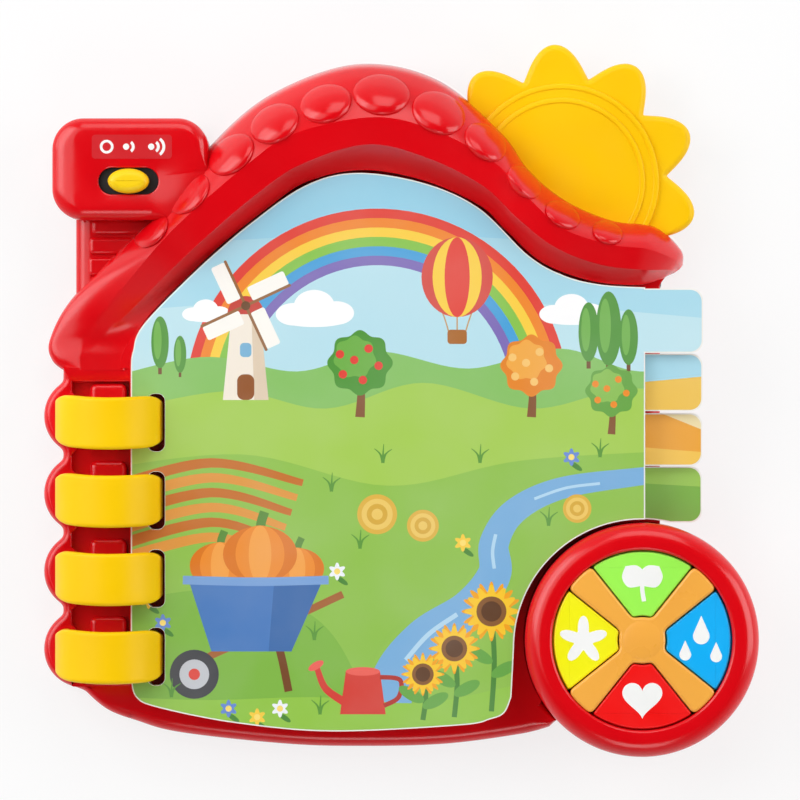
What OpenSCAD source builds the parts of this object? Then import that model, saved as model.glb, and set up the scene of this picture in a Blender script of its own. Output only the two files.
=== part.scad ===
// Talking farm book for a baby: a flat house-shaped casing that lies on its back, with four
// thick board pages on yellow rings, a raised tiled roof, a chimney with a sliding selector,
// a sun and a round keypad. X runs to the right, Y towards the roof, Z up to the reader.
// The origin is on the back face, under the middle of the house.

/* [Casing] */
// Depth of the rear cover, up to the seam
rear_depth = 12; // [11.6:0.2:14]
// Wall of the casing mouldings
wall = 2.2; // [1.8:0.1:2.6]
// Height of the deck under the pages above the seam
deck_rise = 5.7; // [5.5:0.1:7]
// Height of the roof crest above the seam
roof_rise = 28; // [24:0.5:34]
// Gap left between two mouldings that meet
fit = 0.15; // [0.1:0.05:0.3]
// Height of the chimney face above the seam
chimney_rise = 21; // [19:0.5:26]
// Height of the sun's face above the seam
sun_rise = 9.5; // [7:0.5:13]

/* [Pages] */
// Thickness of one board page
page_t = 3; // [2.4:0.1:3.2]
// Gap between two pages, and under the last one
page_gap = 0.35; // [0.3:0.05:0.5]
// Length that the thumb tabs stand out past the board
tab_reach = 20.2; // [12:0.2:22]
// Width of the ring slots in the pages
slot_w = 6.1; // [5.6:0.1:6.6]
// Diameter of the magnet in each page
magnet_d = 8; // [5:0.5:10]

/* [Rings] */
// Outer radius of the rings
ring_r = 18.9; // [18.4:0.1:19.4]
// Thickness of a ring's band
ring_t = 3; // [2:0.1:3.4]
// Width of a ring's band along the spine
ring_band = 18.2; // [14:0.2:18.6]
// Distance between two rings along the spine
ring_pitch = 27.3; // [26.5:0.1:27.5]

/* [Keypad] */
// Radius of the round bezel
bezel_r = 41; // [40:0.5:42]
// Height of the bezel's top above the seam
bezel_rise = 24; // [22:0.5:28]
// Radius of the circle that the four buttons fill
button_r = 31.2; // [30:0.1:33]
// Radius of the hub in the middle
hub_r = 8.2; // [7:0.1:10]
// Width of the arms between the buttons
arm_w = 10.4; // [7:0.1:11]
// Travel of a button
button_travel = 1.8; // [1:0.1:2]
// Gap round each button
button_gap = 0.4; // [0.3:0.05:0.6]

/* [Selector] */
// Length of the oval selector knob
knob_l = 14.4; // [12:0.1:16]
// Width of the oval selector knob
knob_w = 8.7; // [7:0.1:9.5]
// Travel of the knob to either side
knob_travel = 3; // [2:0.1:3.5]

/* [Electrics] */
// Diameter of an AAA cell
cell_d = 10.5; // [9.8:0.1:10.5]
// Length of an AAA cell
cell_l = 44.5; // [43:0.1:45]
// Diameter of the loudspeaker
speaker_d = 57; // [50:0.5:58]
// Thickness of the circuit boards
board_t = 1.6; // [1:0.1:1.8]
// Diameter of a lead's insulation
lead_d = 1.6; // [1.2:0.1:1.8]
// Shank diameter of the casing screws
screw_d = 2.8; // [2.2:0.1:3]

/* [Hidden] */
$fn = 64;
eps = 0.01;

// Levels of the pages and of the deck that carries them
page_count = 4;
deck_top = rear_depth + deck_rise;
deck_under = deck_top - wall;
page_pitch = page_t + page_gap;
stack_foot = deck_top + page_gap;
stack_h = page_count * page_pitch - page_gap;
function page_z(i) = stack_foot + (page_count - i) * page_pitch;

// Spine: the axis that the rings are centred on and the pages turn about
spine_x = -102;
spine_z = stack_foot + stack_h / 2;
ring_dip = 32;
ring_first_y = -8.2;
ring_ys = [for (i = [0:3]) ring_first_y - i * ring_pitch];
ring_bore = ring_r - ring_t;
ring_seat = spine_z - ring_r * sin(ring_dip) - fit;
ring_play = 0.6;
slot_in = ring_bore - 2.3;
slot_l = ring_band + 1.4;

// Smooth curves: a Catmull-Rom spline through a few points
function spline_point(a, b, c, d, t) =
    0.5 * (2 * b + (c - a) * t + (2 * a - 5 * b + 4 * c - d) * t * t
    + (3 * b - a - 3 * c + d) * t * t * t);
function at_end(p, i) = p[max(0, min(len(p) - 1, i))];
function on_spline(p, s) =
    let (i = min(floor(s), len(p) - 2))
    spline_point(at_end(p, i - 1), p[i], p[i + 1], at_end(p, i + 2), s - i);
function spline(p, steps) =
    [for (k = [0:(len(p) - 1) * steps]) on_spline(p, k / steps)];
function arc(c, r, from, to, steps) =
    [for (k = [0:steps]) let (a = from + (to - from) * k / steps) c + r * [cos(a), sin(a)]];

function rounded(x0, y0, x1, y1, r) =
    concat(arc([x1 - r, y1 - r], r, 0, 90, 6), arc([x0 + r, y1 - r], r, 90, 180, 6),
           arc([x0 + r, y0 + r], r, 180, 270, 6), arc([x1 - r, y0 + r], r, 270, 360, 6));

// Roof: outer edge, start of the front face, ridge of the front face and edge at the page well
roof_outer = [[-117, 9.5], [-122.4, 13.8], [-123.3, 21.4], [-115, 36.4], [-93.1, 58.1],
    [-81.7, 68.8], [-66.7, 89.5], [-45.4, 107.6], [-15.5, 118.2], [12.5, 113], [35.4, 94.5],
    [45, 81.4], [57.8, 70.7], [74, 63.6], [89.5, 61.2], [98.8, 53], [99.6, 48.5]];
roof_face = [[-112.5, 10.5], [-112.5, 15.5], [-110.5, 23], [-102.4, 33], [-86, 52.4],
    [-73.5, 64.9], [-56, 80], [-38, 92.5], [-10, 98.7], [11, 94.5], [32.5, 83.2],
    [45.4, 69.9], [57.5, 59.6], [73.5, 54.3], [86.4, 52.8], [95.8, 49.6], [98, 47]];
roof_ridge = [[-108.5, 10.5], [-109.2, 16], [-105.5, 21.5], [-95.5, 30.5], [-79, 46.5],
    [-66.5, 58], [-50.5, 71.5], [-35, 82], [-11.5, 89.2], [9.5, 84.5], [29, 74.7],
    [41, 63.5], [53.7, 53.6], [69, 47.5], [84, 45.6], [94.3, 46.6], [96.5, 45.7]];
roof_inner = [[-97, 10.5], [-96, 15.5], [-93.6, 20.5], [-87.7, 30], [-70.7, 47.3],
    [-60.6, 55.9], [-45.6, 67.8], [-32.9, 76.4], [-13.5, 80.6], [8.4, 77], [28.1, 68.1],
    [37.2, 59.3], [50.3, 48.4], [67, 42.1], [83, 40.7], [91.6, 42.6], [94, 44.5]];
// Share of the full roof height at each of those places: the eave stays under the turned pages
roof_lift = [0, 0, 0, 0.2, 0.8, 1, 1, 1, 1, 1, 1, 1, 0.96, 0.87, 0.74, 0.4, 0];
roof_steps = 5;
roof_rows = (len(roof_outer) - 1) * roof_steps;
eave_top = deck_top - 0.5;
roof_seam = rear_depth + fit;

// Roof tiles: middle, half length and half width
tiles = [[[-87.2, 59.2], 7.3, 4.7], [[-73.9, 72.1], 8.6, 5.7], [[-59, 85.8], 9, 6.2], [[-43.8, 96.6], 9, 6.7],
    [[-25.9, 103.6], 9.2, 6.8], [[-6.5, 106.8], 10, 7.3], [[13.5, 100.3], 9.7, 7.4], [[29.9, 90.1], 8.2, 6],
    [[43.4, 76.1], 7, 4.8], [[56.9, 64.8], 6.6, 4.4], [[72.6, 58.6], 5.5, 4.1]];
tile_rise = 3;
tile_centres = [for (tile = tiles) tile[0]];
function tile_along(k) = let (q = at_end(tile_centres, k + 1) - at_end(tile_centres, k - 1)) q / norm(q);
function tile_bump(p) =
    max([for (k = [0:len(tiles) - 1])
        let (q = p - tile_centres[k], u = tile_along(k),
             a = (q * u) / tiles[k][1], b = (q * [-u.y, u.x]) / tiles[k][2])
        tile_rise * sqrt(max(0, 1 - a * a - b * b))]);

// Across the roof: 0 to 1 climbs the outer slope, 1 to 2 is the face, and 2 to 3 falls in a cove
// to a low wall beside the pages
roof_across = [0, 0.04, 0.14, 0.3, 0.45, 0.6, 0.75, 0.9, 1, 1.5, 2, 2.15, 2.35, 2.6, 2.97, 3];
function roof_plan(s, t) =
    let (o = on_spline(roof_outer, s), f = on_spline(roof_face, s),
         r = on_spline(roof_ridge, s), i = on_spline(roof_inner, s))
    t < 1 ? o + (f - o) * t : t < 2 ? f + (r - f) * (t - 1) : r + (i - r) * (t - 2);
function roof_level(s, t) =
    let (crest = eave_top + (rear_depth + roof_rise - eave_top) * on_spline(roof_lift, s),
         ridge = crest - 1.2 * on_spline(roof_lift, s), u = t - 2)
    t < 1 ? roof_seam + (crest - roof_seam) * slope_share(t)
    : t < 2 ? crest + (ridge - crest) * (t - 1)
    : t < 3 ? deck_top + (ridge - deck_top) * (cove_foot + (1 - cove_foot) * pow(1 - u, cove_power))
    : deck_top;
cove_foot = 0.5;
cove_power = 1.7;
// The slope's profile is part quarter ellipse, part chamfer above a round foot
slope_bow = 0.4;
slope_foot = 0.52;
foot_share = 0.12;
function slope_share(t) =
    slope_bow * sqrt(1 - (1 - t) * (1 - t))
    + (1 - slope_bow) * sqrt(sin(90 * min(1, t / foot_share))) * (slope_foot + (1 - slope_foot) * t);
roof_wall_share = 0.09;
function roof_under_plan(s, t) =
    let (g = t / 3, h = roof_wall_share + (1 - 2 * roof_wall_share) * g) roof_plan(s, 3 * h);
function roof_top_point(s, t) =
    let (p = roof_plan(s, t)) [p.x, p.y, roof_level(s, t) + (t > 0 && t < 1.6 ? tile_bump(p) : 0)];
function roof_under_point(s, t) =
    let (p = roof_under_plan(s, t), g = t / 3, h = roof_wall_share + (1 - 2 * roof_wall_share) * g,
         level = max(roof_seam + eps, roof_level(s, 3 * h) - wall))
    [p.x, p.y, t == 0 ? roof_seam : t == 3 ? min(deck_top, level) : level];

module grid_shell(top, under) {
    rows = len(top) - 1;
    cols = len(top[0]) - 1;
    w = cols + 1;
    low = (rows + 1) * w;
    points = concat([for (r = top) each r], [for (r = under) each r]);
    faces = concat(
        [for (i = [0:rows - 1], j = [0:cols - 1]) each
            [[i * w + j, i * w + j + 1, (i + 1) * w + j + 1],
             [i * w + j, (i + 1) * w + j + 1, (i + 1) * w + j]]],
        [for (i = [0:rows - 1], j = [0:cols - 1]) each
            [[low + i * w + j, low + (i + 1) * w + j + 1, low + i * w + j + 1],
             [low + i * w + j, low + (i + 1) * w + j, low + (i + 1) * w + j + 1]]],
        [for (i = [0:rows - 1], j = [0, cols])
            let (a = i * w + j, b = (i + 1) * w + j)
            each j == 0 ? [[a, b, low + b], [a, low + b, low + a]]
            : [[a, low + b, b], [a, low + a, low + b]]],
        [for (j = [0:cols - 1], i = [0, rows])
            let (a = i * w + j, b = i * w + j + 1)
            each i == 0 ? [[a, low + b, b], [a, low + a, low + b]]
            : [[a, b, low + b], [a, low + b, low + a]]]);
    polyhedron(points, faces);
}

// House outline: roof edge, right side, keypad corner, bottom curve and spine, turning left
side_x = 91.5;
keypad = [84.7, -84];
spine_left = spine_x - 16.5;
lobe_r = 13.8;
lobe_x = spine_x - 9.5;
lobe_up = 2.6;
bottom_curve = [[spine_left, -88], [spine_left + 1.5, -95], [spine_left + 5.5, -100], [-103.6, -108.5],
    [-93, -112.7], [-77, -117], [-40, -121], [-13, -121.8], [16, -121], [42, -117.6], [52.5, -115]];
house_outline = concat(spline(bottom_curve, 4),
    [[70, -100], [side_x, -50], [side_x, 40.7], roof_inner[len(roof_inner) - 1]],
    [for (k = [roof_rows:-1:0]) on_spline(roof_outer, k / roof_steps)], [[spine_left, 6]]);
roof_outline = concat([for (k = [0:roof_rows]) on_spline(roof_inner, k / roof_steps)],
    [for (k = [roof_rows:-1:0]) on_spline(roof_outer, k / roof_steps)]);

module shrunk(d) {
    if (d == 0) children();
    else offset(delta = -d) children();
}
module house_2d(d) {
    shrunk(d) {
        polygon(house_outline);
        for (y = ring_ys) translate([lobe_x, y + lobe_up]) circle(lobe_r);
    }
}
module keypad_2d(d) { translate(keypad) circle(bezel_r - d); }
module roof_2d(grow) { shrunk(-grow) polygon(roof_outline); }

// Chimney: a cap on a stem, both cut off by the roof
cap_x0 = -121.8;
cap_x1 = -67;
cap_y0 = 63;
cap_y1 = 98.7;
stem_x0 = -114;
stem_x1 = -84;
stem_y0 = 32;
cap_corner = 11;
stem_drop = 16;
module cap_2d(d) { polygon(rounded(cap_x0 + d, cap_y0 + d, cap_x1 - d, cap_y1 - d, cap_corner - d)); }
module stem_2d(d) {
    translate([stem_x0 + d, stem_y0])
        square([stem_x1 - stem_x0 - 2 * d, cap_y0 + wall + 1 - stem_y0]);
}

// Sun: petals on a round plate
sun_at = [56.7, 76.8];
sun_plate_r = 34.3;
sun_valley_r = 37.2;
sun_petal_r = 48.2;
petals = 10;
petal_turn = 21;
module sun_2d() {
    translate(sun_at) polygon([for (a = [0:3:357])
        let (c = (1 + cos(petals * (a - petal_turn))) / 2)
        (sun_valley_r + (sun_petal_r - sun_valley_r) * pow(c, 0.6)) * [cos(a), sin(a)]]);
}
module sun_back_2d(d) { translate(sun_at) circle(sun_plate_r - 2 - d); }

module casing_2d(d) {
    shrunk(d) {
        house_2d(0);
        keypad_2d(0);
        cap_2d(0);
        stem_2d(0);
        sun_back_2d(0);
    }
}

// Screw posts: the rear cover's posts meet the front casing's bosses half way
posts = [[-70, 20], [-70, -40], [-72, -88], [22, -100], [64, 33], [14, 62]];
post_split = rear_depth - 3;
post_r = screw_d / 2 + 2.4;
screw_hole_d = screw_d + 0.4;
head_d = 2 * screw_d;
head_h = 2;
head_seat = 5;
screw_top = deck_under - 1;

// Battery bay with its door
bay_at = [-20, 28];
cell_count = 3;
cell_pitch = cell_d + 0.5;
bay_l = cell_l + 6.3;
bay_w = cell_count * cell_pitch + 0.8;
bay_wall = 1.6;
bay_lip = 3;
door_t = 1.9;
bay_floor = door_t + fit + 1.8;
cell_z = bay_floor + 0.1 + cell_d / 2 - 1.3;
bay_top = cell_z + cell_d / 2 + 0.5;
door_l = bay_l + 2 * bay_lip;
door_w = bay_w + 2 * bay_lip;
door_screw_x = bay_l / 2 + bay_lip + 3.2;

// Loudspeaker behind a grille in the back
speaker_at = [-15, -60];
speaker_foot = wall + fit;
speaker_rim = 1.5;
magnet_r = speaker_d * 0.23;
basket_h = 5.2;
grille_hole = 2.6;
grille_pitch = 5.2;

// Circuit boards
main_x0 = 28;
main_x1 = 66;
main_y0 = -30;
main_y1 = 20;
main_z = 8.2;
main_posts = [[32, -26], [62, -26], [32, 16], [62, 16]];
main_post_r = 2.6;
board_screw_d = 2;
tab_ys = [[16.5, 38.3], [-3.9, 16.2], [-23.1, -4.6], [-43, -23.4]];
sensor_x = 78;
strip_w = 9;
strip_z = deck_under - 1.2 - board_t;
strip_y0 = -40;
strip_y1 = 35;
stud_ys = [-38, 17, 33.5];

// Keypad levels, from the lip that holds the buttons
bezel_top = rear_depth + bezel_rise;
lip_z = bezel_top - 5;
lip_r = button_r + 0.3;
flange_top = lip_z - fit;
flange_t = 1.6;
flange_r = button_r + 2;
button_top = bezel_top - 1;
plunger_foot = flange_top - flange_t - 1.4;
dome_top = plunger_foot - button_travel - 0.2;
membrane_t = 1;
membrane_z = dome_top - 1.2 - membrane_t;
key_board_z = membrane_z - fit - board_t;
key_board_r = bezel_r - 7;
key_posts = [for (a = [45, 165, 285]) keypad + (key_board_r - 8) * [cos(a), sin(a)]];
plunger_at = 19.5;
arm_reach = button_r + 1.7;
arm_end = arm_reach - arm_w / 2;
arm_root = 0.2 * arm_w;
arm_taper = (arm_w / 2 - arm_root) / arm_end;

// Selector levels
chimney_top = rear_depth + chimney_rise;
panel_z = chimney_top;
slot_at = [-95, 76.6];
selector_slot_w = knob_w + 0.7;
selector_slot_l = knob_l + 2 * knob_travel + 0.6;
knob_flange_t = 1.4;
flange_lap = 0.9;
knob_flange_top = panel_z - wall - fit;
switch_top = knob_flange_top - knob_flange_t - 0.3;
switch_h = 5;
switch_post_r = 3;
label_x = [-107.8, -79.8];
label_y = [84.4, 92.8];
label_t = 0.4;

red = "#e30613";
yellow = "#ffd200";
orange = "#f58a33";
board_green = "#2f7a45";
steel = "silver";

// Rear cover: one tray behind the house, the chimney, the sun and the keypad
module rear_cover() {
    color(red) difference() {
        union() {
            difference() {
                linear_extrude(rear_depth) casing_2d(0);
                translate([0, 0, wall]) linear_extrude(rear_depth) casing_2d(wall);
            }
            for (p = posts) translate(p) cylinder(r = post_r, h = post_split);
            for (p = main_posts) translate(p) cylinder(r = main_post_r, h = main_z);
            for (p = key_posts) translate(p) cylinder(r = main_post_r, h = key_board_z);
            translate(slot_at) cylinder(r = switch_post_r, h = switch_top - switch_h);
            translate(speaker_at) difference() {
                cylinder(d = speaker_d + 2 * fit + 3.2, h = wall + 3);
                cylinder(d = speaker_d + 2 * fit, h = wall + 4);
            }
            translate([bay_at.x - door_l / 2 - bay_wall, bay_at.y - door_w / 2 - bay_wall, 0])
                cube([door_l + 2 * bay_wall + 7, door_w + 2 * bay_wall, bay_floor]);
            translate([bay_at.x - bay_l / 2 - bay_wall, bay_at.y - bay_w / 2 - bay_wall, 0])
                cube([bay_l + 2 * bay_wall, bay_w + 2 * bay_wall, bay_top + bay_wall]);
        }
        for (p = posts) translate([p.x, p.y, -eps]) {
            cylinder(d = screw_hole_d, h = rear_depth);
            cylinder(d = head_d + 0.8, h = head_seat + eps);
        }
        for (p = main_posts) translate([p.x, p.y, main_z - 5]) cylinder(d = board_screw_d + 0.2, h = 6);
        speaker_grille();
        translate([bay_at.x - bay_l / 2, bay_at.y - bay_w / 2, -eps]) cube([bay_l, bay_w, bay_top + eps]);
        translate([bay_at.x, bay_at.y, -eps]) linear_extrude(door_t + fit + eps) door_2d(fit);
        translate([bay_at.x + door_screw_x, bay_at.y, -eps]) cylinder(d = screw_d + 0.2, h = bay_floor + 1);
    }
}

// Rings of holes in front of the loudspeaker
module speaker_grille() {
    translate([speaker_at.x, speaker_at.y, -eps]) {
        cylinder(d = grille_hole, h = wall + 1);
        for (k = [1:3], i = [0:6 * k - 1])
            rotate(60 * i / k) translate([k * grille_pitch, 0]) cylinder(d = grille_hole, h = wall + 1);
    }
}

// Front casing: the deck under the pages, its skirt and the spine that holds the rings
trough_x0 = spine_x - 13.9;
trough_x1 = spine_x + 9.2;
trough_y0 = -102;
trough_y1 = 8.6;
trough_floor = rear_depth - 4;
rim_top = deck_top - 0.5;
block_x0 = spine_x - 7;
block_top = spine_z - 8;
block_below = 9.4;
block_above = 14;
spine_edge = trough_x1 - wall;
module deck_2d(d) {
    difference() {
        house_2d(d);
        roof_2d(fit);
        keypad_2d(-fit);
        translate([cap_x0 - 20, -150]) square([spine_edge - cap_x0 + 20, 150 + trough_y1 + wall]);
        polygon([[-140, 0], [-97 - fit, 0], [-97 - fit, 20], [-140, 20]]);
    }
}
module spine_2d(x0, y0, x1, y1, d) {
    intersection() {
        house_2d(d);
        translate([x0, y0]) square([x1 - x0, y1 - y0]);
    }
}
module front_casing() {
    color(red) difference() {
        union() {
            translate([0, 0, deck_under]) linear_extrude(wall) deck_2d(0);
            translate([0, 0, rear_depth + fit]) linear_extrude(deck_under - rear_depth) difference() {
                deck_2d(0);
                house_2d(wall);
            }
            translate([0, 0, rear_depth + fit]) linear_extrude(rim_top - rear_depth - fit)
                spine_2d(-140, -140, trough_x0 + wall, trough_y1, 0);
            translate([0, 0, rear_depth + fit]) linear_extrude(rim_top - rear_depth - fit)
                spine_2d(-140, -140, spine_edge + 1, trough_y0 + wall, 0);
            difference() {
                translate([0, 0, trough_floor]) linear_extrude(deck_top - trough_floor)
                    spine_2d(trough_x0, trough_y0, trough_x1, trough_y1, wall + fit);
                translate([0, 0, trough_floor + wall]) linear_extrude(deck_top)
                    spine_2d(trough_x0 + wall, trough_y0 + wall, spine_edge, trough_y1 - wall, 2 * wall);
            }
            for (y = ring_ys) {
                translate([block_x0, y - block_below, trough_floor + eps])
                    cube([spine_edge + eps - block_x0, block_below + block_above, block_top - trough_floor]);
                translate([trough_x1 - eps, y - ring_band / 2 - wall, ring_seat - wall])
                    cube([spine_x + ring_r - trough_x1, ring_band + 2 * wall, deck_top - ring_seat + wall]);
            }
            for (p = posts) translate([p.x, p.y, post_split + fit])
                cylinder(r = post_r, h = deck_under - post_split);
            for (y = stud_ys) translate([sensor_x, y, strip_z + board_t])
                cylinder(r = 2, h = deck_under - strip_z - board_t + eps);
        }
        for (y = ring_ys) {
            translate([spine_x + ring_bore * cos(45), y - ring_band / 2 - ring_play / 2, ring_seat])
                cube([ring_r - ring_bore * cos(45) + ring_play, ring_band + ring_play, 20]);
            translate([spine_x - ring_r - ring_play, y - ring_band / 2 - ring_play / 2, ring_seat])
                cube([ring_r - ring_bore * cos(45) + ring_play, ring_band + ring_play, 20]);
        }
        for (p = posts) translate([p.x, p.y, post_split - 1])
            cylinder(d = screw_d + 0.2, h = screw_top - post_split + 1.5);
    }
}

// Roof: one smooth shell with eleven tiles along its outer slope
module roof_shell() {
    color(red) grid_shell(
        [for (k = [0:roof_rows]) [for (t = roof_across) roof_top_point(k / roof_steps, t)]],
        [for (k = [0:roof_rows]) [for (t = roof_across) roof_under_point(k / roof_steps, t)]]);
}

// Chimney: a hollow cap with the selector's panel, on a lower stem
module chimney_shell() {
    color(red) difference() {
        union() {
            translate([0, 0, rear_depth + fit]) linear_extrude(chimney_rise - fit) difference() {
                cap_2d(0);
                house_2d(-fit);
            }
            translate([0, 0, rear_depth + fit]) linear_extrude(chimney_rise - stem_drop - fit) difference() {
                stem_2d(0);
                house_2d(-fit);
            }
        }
        translate([0, 0, rear_depth - 1]) linear_extrude(chimney_rise - wall + 1) difference() {
            cap_2d(wall);
            house_2d(-fit - wall);
        }
        translate([0, 0, rear_depth - 1]) linear_extrude(chimney_rise - stem_drop - wall + 1) difference() {
            stem_2d(wall);
            house_2d(-fit - wall);
        }
        translate([slot_at.x, slot_at.y, panel_z - wall - 1]) linear_extrude(wall + 2) selector_slot_2d();
        translate([label_x[0] - fit, label_y[0] - fit, panel_z - label_t])
            cube([label_x[1] - label_x[0] + 2 * fit, label_y[1] - label_y[0] + 2 * fit, label_t + 1]);
    }
}
module selector_slot_2d() {
    e = (selector_slot_l - selector_slot_w) / 2;
    polygon(concat(arc([e, 0], selector_slot_w / 2, -90, 90, 12),
        arc([-e, 0], selector_slot_w / 2, 90, 270, 12)));
}

// Sun: petals with a raised round plate, cut off by the roof
module sun_front() {
    color(yellow) difference() {
        union() {
            translate([0, 0, rear_depth + fit]) linear_extrude(sun_rise - 1.5 - fit) difference() {
                sun_2d();
                house_2d(-fit);
            }
            translate([0, 0, rear_depth + fit]) linear_extrude(sun_rise - fit) difference() {
                translate(sun_at) circle(sun_plate_r);
                house_2d(-fit);
            }
        }
        translate([0, 0, rear_depth - 1]) linear_extrude(sun_rise - wall) difference() {
            sun_back_2d(wall);
            house_2d(-fit - wall);
        }
    }
}

// Rings: open bands whose ends stand in the spine
module ring(i) {
    bevel = min(1.2, ring_t / 3);
    color(yellow) translate([spine_x, ring_ys[i - 1], spine_z]) rotate([90, 0, 0])
        rotate_extrude(angle = 180 + 2 * ring_dip, start = -ring_dip)
            polygon([[ring_bore, -ring_band / 2], [ring_r - bevel, -ring_band / 2],
                [ring_r, -ring_band / 2 + 2 * bevel], [ring_r, ring_band / 2 - 2 * bevel],
                [ring_r - bevel, ring_band / 2], [ring_bore, ring_band / 2]]);
}

// Pages: one board outline with its own thumb tab, four ring slots and a magnet pocket
page_left = spine_x + 7.8;
page_right = 85.8;
page_top_curve = [[page_left, 12], [page_left + 0.7, 17], [page_left + 4.6, 26.6], [-70, 46.6],
    [-51, 62.8], [-32.6, 75.3], [-15, 79.5], [8, 76], [27.5, 67.2], [45, 50.5], [57.8, 43.4],
    [70.4, 40.4], [page_right, 39.4]];
page_bottom_curve = [[39, -104], [36.5, -109.5], [31.5, -111.8], [20.6, -113.9], [-24, -116], [-58, -113],
    [page_left + 9.2, -107.6], [page_left + 1.8, -104], [page_left, -98]];
key_clear = bezel_r + 3.6;
page_outline = concat(spline([for (k = [len(page_top_curve) - 1:-1:0]) page_top_curve[k]], 4),
    spline([for (k = [len(page_bottom_curve) - 1:-1:0]) page_bottom_curve[k]], 4),
    arc(keypad, key_clear, 180, 91, 18), [[page_right, keypad.y + key_clear]]);
tab_corner = 4;
module page_2d(i) {
    difference() {
        union() {
            polygon(page_outline);
            difference() {
                polygon(rounded(page_right - 12, tab_ys[i - 1][0],
                    page_right + tab_reach, tab_ys[i - 1][1], tab_corner));
                translate(keypad) circle(key_clear);
            }
        }
        for (y = ring_ys) translate([spine_x, y])
            polygon(rounded(slot_in, -slot_l / 2, slot_in + slot_w, slot_l / 2, 2.6));
    }
}
magnet_t = 1.5;
function magnet_at(i) = [sensor_x, (tab_ys[i - 1][0] + tab_ys[i - 1][1]) / 2, page_z(i)];
module page(i) {
    color("#a5d8e6") difference() {
        translate([0, 0, page_z(i)]) linear_extrude(page_t) page_2d(i);
        translate(magnet_at(i) - [0, 0, 1]) cylinder(d = magnet_d + 0.2, h = magnet_t + 1.1);
    }
}
module page_magnet(i) {
    color(steel) translate(magnet_at(i)) cylinder(d = magnet_d, h = magnet_t);
}

// Bezel: a round dome with a lip that holds the buttons down and notches for the cross
module button_bezel() {
    round_r = min(6, bezel_r - lip_r - 1.2);
    color(red) difference() {
        translate(keypad) rotate_extrude() polygon(concat(
            [[bezel_r - wall, rear_depth + fit], [bezel_r, rear_depth + fit]],
            arc([bezel_r - round_r, bezel_top - round_r], round_r, 0, 90, 10),
            [[lip_r + 1, bezel_top], [lip_r, bezel_top - 0.8], [lip_r, lip_z], [bezel_r - wall, lip_z]]));
        translate([keypad.x, keypad.y, lip_z + fit]) linear_extrude(10) cross_2d(fit);
    }
}
module cross_2d(grow) {
    circle(hub_r + grow);
    for (a = [45, 135, 225, 315]) rotate(a)
        polygon(concat([[0, -arm_root - grow]], arc([arm_end, 0], arm_w / 2 + grow, -90, 90, 10),
            [[0, arm_root + grow]]));
}
module button_cross() {
    color(orange) translate([keypad.x, keypad.y, lip_z + 2 * fit]) {
        linear_extrude(bezel_top - lip_z - 1) cross_2d(0);
        cylinder(r = hub_r, h = bezel_top - lip_z);
    }
}

// Buttons: a wedge each between two arms, held by a flange under the lip, with a plunger over the membrane
module quarter_2d(inner, outer) {
    side = arm_root + button_gap;
    apex = sqrt(2) * side / (1 - arm_taper);
    far = 60;
    x = (far - side - arm_taper * far) / sqrt(2);
    y = (far + side + arm_taper * far) / sqrt(2);
    difference() {
        intersection() {
            circle(outer);
            polygon([[0, apex], [x, y], [-x, y]]);
        }
        circle(inner);
    }
}
module button(turn, paint) {
    color(paint) translate(keypad) rotate(turn) {
        translate([0, 0, flange_top - flange_t]) linear_extrude(button_top - flange_top + flange_t)
            quarter_2d(hub_r + button_gap, button_r - button_gap / 2);
        translate([0, 0, flange_top - flange_t]) linear_extrude(flange_t) quarter_2d(button_r - 5, flange_r);
        translate([0, plunger_at, plunger_foot]) cylinder(r = 4, h = button_top - plunger_foot - 1);
    }
}
module keypad_membrane() {
    color("whitesmoke") translate([keypad.x, keypad.y, membrane_z]) {
        cylinder(r = key_board_r - 3, h = membrane_t);
        for (a = [0, 90, 180, 270]) rotate(a) translate([0, plunger_at, 0])
            cylinder(r1 = 6.5, r2 = 4.2, h = dome_top - membrane_z);
    }
}
module button_board() {
    color(board_green) translate([keypad.x, keypad.y, key_board_z + fit / 2])
        cylinder(r = key_board_r, h = board_t);
}

// Selector: an oval knob on a flange under the panel, over a slide switch on a post
module selector_knob() {
    color(yellow) translate([slot_at.x, slot_at.y, 0]) {
        translate([0, 0, knob_flange_top - eps]) linear_extrude(panel_z + 2.6 - knob_flange_top)
            oval_2d(knob_l, knob_w);
        translate([0, 0, panel_z + 2.5]) linear_extrude(1) oval_2d(knob_l - 3, knob_w - 2.4);
        translate([-knob_l / 2 - 1, -selector_slot_w / 2 - flange_lap, knob_flange_top - knob_flange_t])
            cube([knob_l + 2, selector_slot_w + 2 * flange_lap, knob_flange_t]);
    }
}
module oval_2d(l, w) { polygon([for (a = [0:10:350]) [l / 2 * cos(a), w / 2 * sin(a)]]); }
module selector_label() {
    color("crimson") translate([label_x[0], label_y[0], panel_z - label_t])
        cube([label_x[1] - label_x[0], label_y[1] - label_y[0], label_t]);
}
module selector_switch() {
    color("dimgray") translate([slot_at.x - 8, slot_at.y - 4, switch_top - switch_h + fit])
        cube([16, 8, switch_h - fit]);
}

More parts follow.
